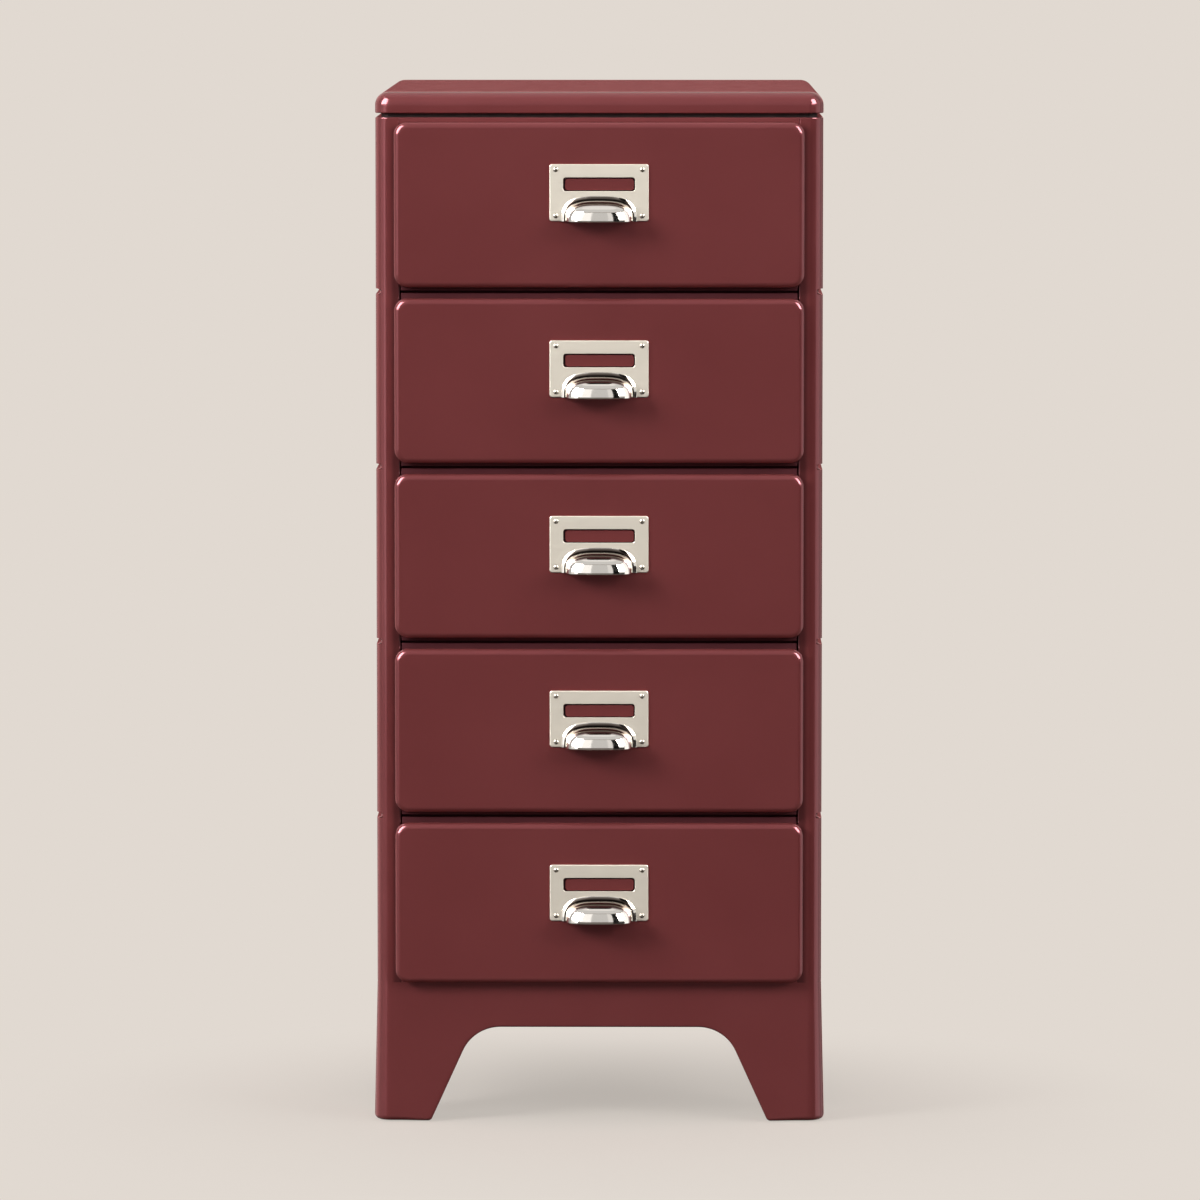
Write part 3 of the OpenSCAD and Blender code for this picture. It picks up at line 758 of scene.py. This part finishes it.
def base_skin():
    """The pressed base: four walls with arches, flared legs and curled edges, in one skin."""
    low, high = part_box("side_panel_left")
    w, l = -2 * low.x, high.y - low.y
    centre_y = (low.y + high.y) / 2
    top = low.z
    columns = []
    for k in range(4):
        across, out = (l, w / 2) if k % 2 == 0 else (w, l / 2)
        cos_k, sin_k = (1, 0, -1, 0)[k], (0, 1, 0, -1)[k]
        half_run = across / 2 - CORNER_R
        half_w = across / 2 + BASE_FLARE - FOOT_W

        def turned(x, y):
            return (x * cos_k - y * sin_k, x * sin_k + y * cos_k + centre_y)

        # the front is wall 3; its seam is filled and rubbed flat
        seam = 0 if k == 3 else 1
        for edge in wall_outline(half_run, half_w):
            columns.append(base_column(lambda t, off: turned(out + off, t), edge, top, seam))
        for i in range(1, ARC_STEPS):
            angle = 90 * i / ARC_STEPS
            a = math.radians(angle)
            from_side = {2: angle, 3: 90 - angle}.get(k, 0)
            faded = 1 - smooth_step(from_side, *SEAM_FADE)

            def on_corner(t, off):
                r = CORNER_R + off
                return turned(out - CORNER_R + r * math.cos(a), half_run + r * math.sin(a))

            edge = (0, LEG_LIFT, 0, -1, FOOT_CURL_R)
            columns.append(base_column(on_corner, edge, top, faded))
    bm = grid_mesh(list(zip(*columns))[::-1])
    nodes = ["base_front", "base_back", "base_left", "base_right"]
    add_piece("pressed_base", bm, CABINET, enamel, nodes, wall=BASE_T)
    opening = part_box("top_rail")
    sill_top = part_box("bottom_panel")[0].z
    bm = bmesh.new()
    box_faces(bm, (opening[0].x, low.y, top - BASE_T), (opening[1].x, low.y + SHEET_T, sill_top))
    add_piece("front_sill", bm, CABINET, enamel, bevel=0.2 * MM)


def foot_glides():
    """Moulded inserts under the feet, with a chamfered sole."""
    low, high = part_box("foot_inserts")
    h = high.z
    section = [(1.2 * MM, 0), (0.3 * MM, 0.5 * MM), (0, 1.4 * MM), (0, h - 1 * MM), (1 * MM, h)]
    rows = swept_rings(2 * GLIDE_HALF, 2 * GLIDE_HALF, GLIDE_CORNER_R, section, 6)
    bm = bmesh.new()
    for sx in (-1, 1):
        x = sx * (high.x - GLIDE_INSET - GLIDE_HALF)
        for y in (low.y + GLIDE_INSET + GLIDE_HALF, high.y - GLIDE_INSET - GLIDE_HALF):
            placed = moved(rows, lambda px, py, pz: (px + x, py + y, pz))
            join_meshes(bm, grid_mesh(placed, cap_start=True, cap_end=True))
    add_piece("foot_glides", bm, CABINET, nylon, ["foot_inserts"], outward=True)


# ---- rails and runners: the node's own shape with softened folds ----


def softened(node, name, material, bevel, short=0):
    """The node's own shape with softened edges, short of both its ends along X."""
    bm = node_copy(node)
    if short:
        reach = max(v.co.x for v in bm.verts)
        for v in bm.verts:
            v.co.x *= (reach - short) / reach
    add_piece(name, bm, CABINET, material, [node], bevel=bevel, outward=True)


def rails_and_runners():
    """The rails between the drawers, in a much darker enamel that paints the shade between the drawer fronts,
    and the zinc plated runners.
    """
    softened("top_rail", "top_rail_fold", enamel, 0.3 * MM)
    for n in DRAWERS[:-1]:
        softened(f"divider_rail_{n}", f"divider_rail_fold_{n}", enamel_rail_shade,
                 0.35 * MM, short=1.0 * MM)
    for n in DRAWERS:
        for side in ("left", "right"):
            softened(f"runner_{side}_{n}", f"runner_fold_{side}_{n}", zinc, 0.35 * MM)


# ---- drawers ----


def drawer_front(n):
    """The overlay front: a pressed shell with a 4.5 mm rounded edge and a narrow groove round the field for
    the label card, behind the plate's window, its floor painted near black as shade."""
    low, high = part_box(f"drawer_{n}_front")
    w, h, depth = high.x - low.x, high.z - low.z, high.y - low.y
    centre_z = (low.z + high.z) / 2
    section = [(FRONT_RIM_IN, 0)] + arc((FRONT_RIM_R, FRONT_RIM_R), FRONT_RIM_R, 250, 180, 3)
    section += arc((FRONT_EDGE_R, depth - FRONT_EDGE_R), FRONT_EDGE_R, 180, 90, 12)
    rows = swept_rings(w, h, FRONT_CORNER_R, section, 16)
    bm = grid_mesh(moved(rows, lambda x, y, z: (x, high.y - z, centre_z + y)))
    window_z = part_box(f"drawer_{n}_pull")[1].z - WINDOW_DROP - WINDOW_H / 2
    left, right, under, over = GROOVE_IN
    outside = rounded_ring(WINDOW_W + 2 * GROOVE_OUT, WINDOW_H + 2 * GROOVE_OUT,
                           WINDOW_R + GROOVE_OUT, 6)
    inside = [(x + (left - right) / 2, y + (under - over) / 2)
              for x, y in rounded_ring(WINDOW_W - left - right, WINDOW_H - under - over, WINDOW_R, 6)]
    groove = ((outside, 0), (outside, -CARD_GROOVE), (inside, -CARD_GROOVE), (inside, 0))
    rings = [[(x, y, height) for x, y in ring] for ring, height in groove]
    card = grid_mesh(moved(rings, lambda x, y, z: (x, low.y - z, window_z + y)), cap_end=True)
    join_meshes(bm, card)
    face_edges = [e for e in bm.edges if e.is_boundary
                  and all(abs(v.co.y - low.y) < 0.01 * MM for v in e.verts)]
    bmesh.ops.triangle_fill(bm, use_beauty=True, edges=face_edges)
    bmesh.ops.recalc_face_normals(bm, faces=bm.faces)
    # painted shade: the groove's floor is darkened towards near black
    painted_shade_share = bm.verts.layers.float.new("painted_shade_share")
    for vert in bm.verts:
        deep = vert.co.y - low.y > 0.5 * CARD_GROOVE
        near = abs(vert.co.x) < WINDOW_W and abs(vert.co.z - window_z) < WINDOW_H
        vert[painted_shade_share] = float(deep and near)
    add_piece(f"drawer_{n}_pressed_front", bm, f"drawer_{n}", enamel,
              [f"drawer_{n}_front"], wall=SHEET_T)


def drawer_tray(n):
    """The folded tray: rounded bottom edges and a flat hem turned inwards round the top."""
    low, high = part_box(f"drawer_{n}_tray")
    w, l, h = 2 * TRAY_HALF_W, high.y - low.y, high.z - low.z
    section = arc((TRAY_FOLD_R, TRAY_FOLD_R), TRAY_FOLD_R, 270, 180, 5)
    section += arc((SHEET_T, h - SHEET_T), SHEET_T, 180, 0, 8)
    section += [(2 * SHEET_T, h - TRAY_HEM)]
    rows = swept_rings(w, l, TRAY_CORNER_R, section, 6)
    centre_y = (low.y + high.y) / 2
    rows = moved(rows, lambda x, y, z: (x, y + centre_y, z + low.z))
    bm = grid_mesh(rows, cap_start=True)
    # a little under the sheet's thickness, so that the hem's two layers don't meet
    add_piece(f"drawer_{n}_folded_tray", bm, f"drawer_{n}", enamel_inside,
              [f"drawer_{n}_tray"], wall=SHEET_T * 0.98)


def tray_lugs(n):
    """The two stop lugs on a tray's sides."""
    low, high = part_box(f"drawer_{n}_tray")
    bm = bmesh.new()
    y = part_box("side_panel_left")[0].y + FLANGE_LIP + TRAVEL + LUG_CLEAR
    z = low.z + LUG_RISE
    for sign in (-1, 1):
        x0, x1 = sorted((sign * (TRAY_HALF_W - 0.1 * MM), sign * high.x))
        box_faces(bm, (x0, y, z), (x1, y + LUG_W, z + LUG_H))
    add_piece(f"drawer_{n}_stop_lugs", bm, f"drawer_{n}", enamel_inside, bevel=0.4 * MM)


# ---- label plate, cup and rivets ----


def superellipse(power, count):
    """Points evenly spaced along a unit quarter of a superellipse, from (1, 0) to (0, 1)."""
    t = np.linspace(0, math.pi / 2, 2001)
    x, y = np.cos(t) ** (2 / power), np.sin(t) ** (2 / power)
    length = np.concatenate([[0], np.cumsum(np.hypot(np.diff(x), np.diff(y)))])
    even = np.linspace(0, length[-1], count + 1)
    return [(float(np.interp(s, length, x)), float(np.interp(s, length, y))) for s in even]


def offset_loop(points, distance):
    """A closed anticlockwise loop grown by a distance, with mitred corners."""
    result = []
    count = len(points)
    for i in range(count):
        before, here, after = (Vector(points[(i + k) % count]) for k in (-1, 0, 1))
        n1 = (here - before).normalized()
        n2 = (after - here).normalized()
        n1, n2 = Vector((n1.y, -n1.x)), Vector((n2.y, -n2.x))
        middle = (n1 + n2).normalized()
        result.append(tuple(here + middle * distance / max(0.4, middle.dot(n1))))
    return result


def half_outline(half_w, h, steps=40):
    """The cup's outline, from its right end over the top to its left end."""
    quarter = superellipse(CUP_POWER, steps)
    right = [(half_w * x, h * y) for x, y in quarter]
    return right + [(-x, y) for x, y in right[-2::-1]]


def label_plate(n, place):
    """The flat of the stamping: rounded edges, the label window and the opening behind the cup."""
    low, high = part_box(f"drawer_{n}_pull")
    w, h = high.x - low.x, high.z - low.z
    outer = [(x, y + h / 2) for x, y in rounded_ring(w, h, PLATE_CORNER_R, 8)]
    cut = next(i for i in range(len(outer)) if outer[i][0] < 0 and outer[i][1] < 1e-9) + 1
    opening = half_outline(FINGER_HALF_W, FINGER_H, 24)[::-1]
    loop = outer[:cut] + opening + outer[cut:]
    window = [(x, h - WINDOW_DROP - WINDOW_H / 2 + y)
              for x, y in rounded_ring(WINDOW_W, WINDOW_H, WINDOW_R, 6)]
    bm = bmesh.new()
    front_edges, back_edges = [], []
    for points, sign, edge in ((loop, -1, PLATE_EDGE_R), (window, 1, WINDOW_EDGE_R)):
        rows = [[(x, y, 0) for x, y in points]]
        for inset, height in arc((edge, PLATE_T - edge), edge, 180, 90, 4):
            rows.append([(x, y, height) for x, y in offset_loop(points, sign * inset)])
        verts = [[bm.verts.new(place(*p)) for p in row] for row in rows]
        count = len(points)
        for a, b in zip(verts, verts[1:]):
            for j in range(count):
                k = (j + 1) % count
                quad = (a[j], a[k], b[k], b[j])
                bm.faces.new(quad if sign < 0 else quad[::-1])
        for row, edges in ((verts[0], back_edges), (verts[-1], front_edges)):
            edges += [bm.edges.get((row[j], row[(j + 1) % count])) for j in range(count)]
    for edges in (front_edges, back_edges):
        bmesh.ops.triangle_fill(bm, use_beauty=True, edges=edges)
    add_piece(f"drawer_{n}_label_plate", bm, f"drawer_{n}", plate_nickel,
              [f"drawer_{n}_pull"], outward=True)


def ledge_rows():
    """The step round the cup, from the plate inwards: share of its width and height."""
    rise = LEDGE_RISE - PLATE_T
    steps = ((0, -0.06), (0.01, 0.08), (0.03, 0.2), (0.06, 0.28), (0.1, 0.33), (0.3, 0.52), (0.5, 0.7),
             (0.62, 0.8), (0.69, 0.84), (0.73, 0.8), (0.76, 0.55), (0.8, 0.42), (0.85, 0.42), (0.9, 0.55),
             (0.94, 0.8))
    return [(share, PLATE_T + rise * up) for share, up in steps]


def cup_surface(half_w, h, reach, foot, profile, stations):
    """The dome: at each station across, a rounded profile from the foot out to the rim."""
    right = [(half_w * x, s) for x, s in stations]
    across = right + [(-x, s) for x, s in right[-2::-1]]
    return [[(x, RIM_ROUND + (h - RIM_ROUND) * s * up, foot + (reach - foot) * s * out)
             for x, s in across] for up, out in profile]


def cup(n, place):
    """The cup pull: a stepped ledge on the plate, a full rounded dome and a rounded rim."""
    low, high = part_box(f"drawer_{n}_pull")
    reach = high.y - low.y
    stations = superellipse(CUP_POWER, 40)
    profile = [(y, x) for x, y in superellipse(CUP_PROFILE_POWER, 28)][::-1]
    rows = []
    for share, height in ledge_rows():
        half_w = LEDGE_HALF_W + (CUP_HALF_W - LEDGE_HALF_W) * share
        top = LEDGE_H + (CUP_H - LEDGE_H) * share
        rows.append([(x, y, height) for x, y in half_outline(half_w, top)])
    outer = cup_surface(CUP_HALF_W, CUP_H, reach, LEDGE_RISE, profile, stations)
    inner = cup_surface(CUP_HALF_W - CUP_T, CUP_H - CUP_T, reach - CUP_T, LEDGE_RISE, profile, stations)
    rows += outer
    for share, drop in ((0.06, 0.62), (0.2, 0.9), (0.38, 1.0), (0.62, 1.0), (0.8, 0.9), (0.94, 0.62)):
        rim = []
        for a, b in zip(outer[-1], inner[-1]):
            x, y, z = (pa + (pb - pa) * share for pa, pb in zip(a, b))
            rim.append((x, y - RIM_ROUND * drop, z))
        rows.append(rim)
    rows += inner[::-1]
    rows.append([(x, y, 0.5 * PLATE_T) for x, y in half_outline(CUP_HALF_W - CUP_T, CUP_H - CUP_T)])
    rows.append(rows[0])
    bm = grid_mesh(moved(rows, place), wrap=False)
    # painted dark reflection and shade on the step's upper part and on the crease rows under the dome
    painted_dark_reflection = bm.verts.layers.float.new("painted_dark_reflection")
    for index, vert in enumerate(bm.verts):
        away, up = high.y - vert.co.y, vert.co.z - low.z
        past_dark_step = smooth_step(away, *DARK_STEP_END)
        vert[painted_dark_reflection] = smooth_step(away, *STEP_FOOT) * smooth_step(up, *STEP_SIDE) * (1 - past_dark_step)
        if index // len(rows[0]) in CREASE_ROWS:
            vert[painted_dark_reflection] = 1
    bmesh.ops.remove_doubles(bm, verts=bm.verts, dist=0.005 * MM)
    ends = [e for e in bm.edges if e.is_boundary]
    bmesh.ops.holes_fill(bm, edges=ends, sides=0)
    add_piece(f"drawer_{n}_cup", bm, f"drawer_{n}", cup_nickel,
              [f"drawer_{n}_pull"], outward=True, sharp=60)


def rivet_tree():
    """Geometry Nodes that set a round-headed rivet on every point of a mesh."""
    tree = bpy.data.node_groups.new("round_head_rivets", "GeometryNodeTree")
    kinds = {"Places": "Geometry", "Head radius": "Float", "Head height": "Float", "Turn": "Vector",
             "Finish": "Material"}
    ids = {}
    for name, kind in kinds.items():
        socket = tree.interface.new_socket(name, in_out="INPUT", socket_type="NodeSocket" + kind)
        ids[name] = socket.identifier
    tree.interface.new_socket("Rivets", in_out="OUTPUT", socket_type="NodeSocketGeometry")
    source = add_node(tree, "NodeGroupInput").outputs
    ball = add_node(tree, "GeometryNodeMeshUVSphere", {"Segments": 24, "Rings": 14, "Radius": 1.0})
    spot = add_node(tree, "GeometryNodeInputPosition")
    size = add_node(tree, "ShaderNodeCombineXYZ", X=source["Head radius"], Y=source["Head radius"],
                    Z=source["Head height"])
    scaled = add_node(tree, "ShaderNodeVectorMath", {"operation": "MULTIPLY"})
    feed(tree, scaled, {0: spot.outputs["Position"], 1: size.outputs["Vector"]})
    # the lower half of each ball is pressed flat
    flat = add_node(tree, "ShaderNodeVectorMath", {"operation": "MAXIMUM"})
    feed(tree, flat, {0: scaled.outputs["Vector"], 1: (-1, -1, 0)})
    head = add_node(tree, "GeometryNodeSetPosition", Geometry=ball.outputs["Mesh"],
                    Position=flat.outputs["Vector"])
    smooth = add_node(tree, "GeometryNodeSetShadeSmooth", Geometry=head.outputs["Geometry"])
    turn = add_node(tree, "FunctionNodeEulerToRotation", Euler=source["Turn"])
    spread = add_node(tree, "GeometryNodeInstanceOnPoints", Points=source["Places"],
                      Instance=smooth.outputs["Geometry"], Rotation=turn.outputs["Rotation"])
    real = add_node(tree, "GeometryNodeRealizeInstances", Geometry=spread.outputs["Instances"])
    finish = add_node(tree, "GeometryNodeSetMaterial", Geometry=real.outputs["Geometry"],
                      Material=source["Finish"])
    add_node(tree, "NodeGroupOutput", Rivets=finish.outputs["Geometry"])
    return tree, ids


def rivets(name, places, body, material, node, head_r, head_h, turn):
    """A group of rivets as one plain mesh; turn points their heads."""
    tree, ids = rivet_maker
    mesh = bpy.data.meshes.new(name)
    mesh.from_pydata(places, [], [])
    piece = new_object(name, mesh)
    maker = piece.modifiers.new("rivets", "NODES")
    maker.node_group = tree
    values = {"Head radius": head_r, "Head height": head_h, "Turn": turn, "Finish": material}
    for key, value in values.items():
        maker[ids[key]] = value
    bake_modifiers(piece)
    piece.data.name = name
    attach(piece, body)
    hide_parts(node)


def plate_rivets(n):
    """The four rivets at a label plate's corners."""
    low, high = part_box(f"drawer_{n}_rivets")
    y = low.y + PIN_HEAD_H
    places = [(x, y, z) for x in (low.x + PIN_HEAD_R, high.x - PIN_HEAD_R)
              for z in (low.z + PIN_HEAD_R, high.z - PIN_HEAD_R)]
    rivets(f"drawer_{n}_plate_rivets", places, f"drawer_{n}", rivet_nickel,
           f"drawer_{n}_rivets", PIN_HEAD_R, PIN_HEAD_H, (math.pi / 2, 0, 0))


def back_rivets():
    """The rivets of the back panel, two beside each drawer, a quarter of a front below its top."""
    low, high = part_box("back_rivets")
    y = high.y - BACK_HEAD_H
    first_low, first_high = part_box("drawer_1_front")
    drop = (first_high.z - first_low.z) / 4
    places = []
    for n in DRAWERS:
        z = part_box(f"drawer_{n}_front")[1].z - drop
        places += [(x, y, z) for x in (low.x + BACK_HEAD_R, high.x - BACK_HEAD_R)]
    rivets("back_panel_rivets", places, CABINET, enamel, "back_rivets",
           BACK_HEAD_R, BACK_HEAD_H, (-math.pi / 2, 0, 0))


def pull(n):
    """A drawer's pull: its shapes are drawn as width, height from the bottom and distance from
    the drawer."""
    low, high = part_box(f"drawer_{n}_pull")

    def place(x, y, z):
        return (x, high.y - z, low.z + y)

    label_plate(n, place)
    cup(n, place)
    plate_rivets(n)


# ---- floor, light and camera ----


def stage_object(name, bm, material):
    """A plain object for the stage."""
    thing = new_object(name, plain_mesh(name, bm))
    thing.data.materials.append(material)
    return thing


def mixed_shaders(tree, factor, first, second):
    mix = add_node(tree, "ShaderNodeMixShader", Fac=factor)
    feed(tree, mix, {1: first, 2: second})
    return mix.outputs["Shader"]


def combined(tree, operation, first, second):
    """Two values combined by a math node."""
    node = add_node(tree, "ShaderNodeMath", {"operation": operation})
    feed(tree, node, {0: first, 1: second})
    return node.outputs["Value"]


def floor_material():
    """Matt paper for shadows near the chest, fading into the backdrop's own colour."""
    material, tree, shader = new_material("pale_matt_paper")
    seen = add_node(tree, "ShaderNodeLightPath").outputs["Is Camera Ray"]
    feed(tree, shader, {
        "Base Color": blend(tree, seen, FLOOR_BOUNCE, FLOOR_COLOUR),
        "Roughness": 1.0,
        "Specular IOR Level": 0.0,
    })
    place = add_node(tree, "ShaderNodeTexCoord")
    far = add_node(tree, "ShaderNodeVectorMath", {"operation": "DISTANCE"})
    feed(tree, far, {0: place.outputs["Object"], 1: SHADOW_CENTRE})
    near, beyond = SHADOW_FADE
    fade = add_node(tree, "ShaderNodeMapRange", {"interpolation_type": "SMOOTHSTEP", "From Min": near,
                    "From Max": beyond, "To Min": FLOOR_GLOW}, Value=far.outputs["Value"])
    glow = add_node(tree, "ShaderNodeEmission", {"Color": linear(BACKDROP_COLOUR)})
    share = combined(tree, "MULTIPLY", fade.outputs["Result"], seen)
    surface = mixed_shaders(tree, share, shader.outputs["BSDF"], glow.outputs["Emission"])
    tree.links.new(surface, tree.nodes["Material Output"].inputs["Surface"])
    return material


def studio_floor():
    """A pale floor that keeps the chest's shadow and fades into an even backdrop."""
    bm = bmesh.new()
    bmesh.ops.create_circle(bm, cap_ends=True, cap_tris=True, segments=96, radius=FLOOR_R)
    floor = stage_object("studio_floor", bm, floor_material())
    floor.visible_glossy = False


def studio_world():
    """An even backdrop for the camera and for reflections, and a softer fill for the shading."""
    world = bpy.data.worlds.new("studio")
    world.use_nodes = True
    bpy.context.scene.world = world
    tree = world.node_tree
    tree.nodes.clear()
    rays = add_node(tree, "ShaderNodeLightPath").outputs
    seen = add_node(tree, "ShaderNodeBackground", {"Color": linear(BACKDROP_COLOUR)})
    fill = add_node(tree, "ShaderNodeBackground", {"Color": linear(WHITE), "Strength": FILL})
    mirror = combined(tree, "MAXIMUM", rays["Is Camera Ray"], rays["Is Glossy Ray"])
    direct = combined(tree, "MAXIMUM", mirror, rays["Is Transmission Ray"])
    surface = mixed_shaders(tree, direct, fill.outputs["Background"], seen.outputs["Background"])
    add_node(tree, "ShaderNodeOutputWorld", Surface=surface)


def around(azimuth, elevation, distance):
    """A place seen from the chest: azimuth 0 is in front, positive to the right."""
    a, e = math.radians(azimuth), math.radians(elevation)
    flat = distance * math.cos(e)
    return Vector((flat * math.sin(a), -flat * math.cos(a), AIM.z + distance * math.sin(e)))


def look(thing, direction):
    """Turns a lamp or the camera to a direction."""
    thing.rotation_euler = direction.to_track_quat("-Z", "Y").to_euler()


def soft_box(name, azimuth, elevation, distance, side, power):
    """A square lamp turned to the chest, which lights it but isn't seen in it."""
    light = bpy.data.lights.new(name, "AREA")
    light.shape = "RECTANGLE"
    light.size, light.size_y = side, side
    light.energy = power
    lamp = new_object(name, light)
    lamp.location = around(azimuth, elevation, distance)
    look(lamp, AIM - lamp.location)
    lamp.visible_camera = False
    lamp.visible_glossy = False


def add_card(name, rows, colour, strength, one_sided=False):
    """Puts a glowing card on the stage; light passes through the back of a one-sided card."""
    material, tree, _ = new_material(name)
    glow = add_node(tree, "ShaderNodeEmission", {"Color": linear(colour), "Strength": strength})
    surface = glow.outputs["Emission"]
    if one_sided:
        geometry = add_node(tree, "ShaderNodeNewGeometry")
        clear = add_node(tree, "ShaderNodeBsdfTransparent")
        surface = mixed_shaders(tree, geometry.outputs["Backfacing"], surface, clear.outputs["BSDF"])
    tree.links.new(surface, tree.nodes["Material Output"].inputs["Surface"])
    card = stage_object(name, grid_mesh(rows, wrap=False), material)
    card.visible_camera = False
    card.visible_diffuse = False
    card.visible_shadow = False
    card.visible_transmission = False


def studio_card(name, azimuths, elevations, distance, colour, strength):
    """A curved card that only reflections see, part of a sphere round the chest."""
    rows = []
    for e in np.linspace(*elevations, CARD_ROWS):
        rows.append([tuple(around(a, e, distance)) for a in np.linspace(*azimuths, CARD_COLUMNS)])
    add_card(name, rows, colour, strength)


def lid_flag():
    """A sheet above the front edge of the lid that only reflections on their way forward meet: it
    keeps the bright windows out of the flat lid in views from behind."""
    low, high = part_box("top_cover")
    y = low.y + COVER_CORNER_R + FLAG_GAP
    rows = [[(x, y, z) for x in (FLAG_HALF_W, -FLAG_HALF_W)] for z in (high.z, high.z + FLAG_H)]
    add_card("lid_flag", rows, WHITE, FLAG_GLOW, one_sided=True)


def studio_camera():
    """A long lens on a camera a little above the chest, looking slightly down."""
    data = bpy.data.cameras.new("camera")
    data.sensor_width = SENSOR
    data.lens = LENS
    data.clip_end = CLIP_END
    camera = new_object("camera", data)
    front_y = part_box("side_panel_left")[0].y
    camera.location = (CAMERA_X, front_y - CAMERA_BACK, CAMERA_Z)
    yaw, pitch = math.radians(CAMERA_YAW), math.radians(CAMERA_PITCH)
    look(camera, Vector((math.sin(yaw) * math.cos(pitch), math.cos(yaw) * math.cos(pitch), -math.sin(pitch))))
    bpy.context.scene.camera = camera


def studio():
    """The whole stage: each lamp and card is listed at the top."""
    studio_camera()
    studio_floor()
    studio_world()
    for name, values in LAMPS.items():
        soft_box(name, *values)
    for name, values in CARDS.items():
        studio_card(name, *values)
    lid_flag()


# ---- the chest ----

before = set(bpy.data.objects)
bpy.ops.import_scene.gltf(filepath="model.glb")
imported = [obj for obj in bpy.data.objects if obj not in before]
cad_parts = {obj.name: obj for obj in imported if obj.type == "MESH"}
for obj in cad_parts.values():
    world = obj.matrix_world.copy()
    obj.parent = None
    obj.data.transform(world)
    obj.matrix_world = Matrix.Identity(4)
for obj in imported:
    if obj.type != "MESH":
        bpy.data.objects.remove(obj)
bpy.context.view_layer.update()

enamel = stoved_enamel("oxide_red_stoved_enamel", "6e3535", "6a3232", 0.15, 0.3, 1.62)
# painted shade: a much darker enamel for the divider rails, which lie in shade between the drawers
enamel_rail_shade = stoved_enamel("oxide_red_enamel_shaded_rails", "2c1314", "261011", 0.5, 0.0, 1.4)
enamel_inside = stoved_enamel("oxide_red_enamel_inside", "542526", "4c2122", 0.4, 0.0, 1.45)
plate_nickel = brushed_nickel("brushed_nickel_plate")
cup_nickel = bright_nickel("bright_nickel_plate")
rivet_nickel = satin_nickel("satin_nickel_plate")
# painted shade for the neck in the gap under the cover
neck_shade_paint = painted_shade_black_red("painted_shade_black_red")
zinc = zinc_plate("zinc_plated_steel")
nylon = moulded_nylon("moulded_black_nylon")
rivet_maker = rivet_tree()

top_cover()
top_deck()
side_panels()
base_skin()
foot_glides()
rails_and_runners()
back_rivets()
for number in DRAWERS:
    drawer_front(number)
    drawer_tray(number)
    tray_lugs(number)
    pull(number)

# these pieces show as they are in the frame
plain = {"back_panel": enamel, "bottom_panel": enamel_inside, "cover_screws": zinc, "cover_nuts": zinc}
plain.update({f"drawer_{number}_liner": enamel_inside for number in DRAWERS})
for node, finish in plain.items():
    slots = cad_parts[node].data.materials
    slots.clear()
    slots.append(finish)

studio()
bpy.context.scene.view_settings.view_transform = "Standard"
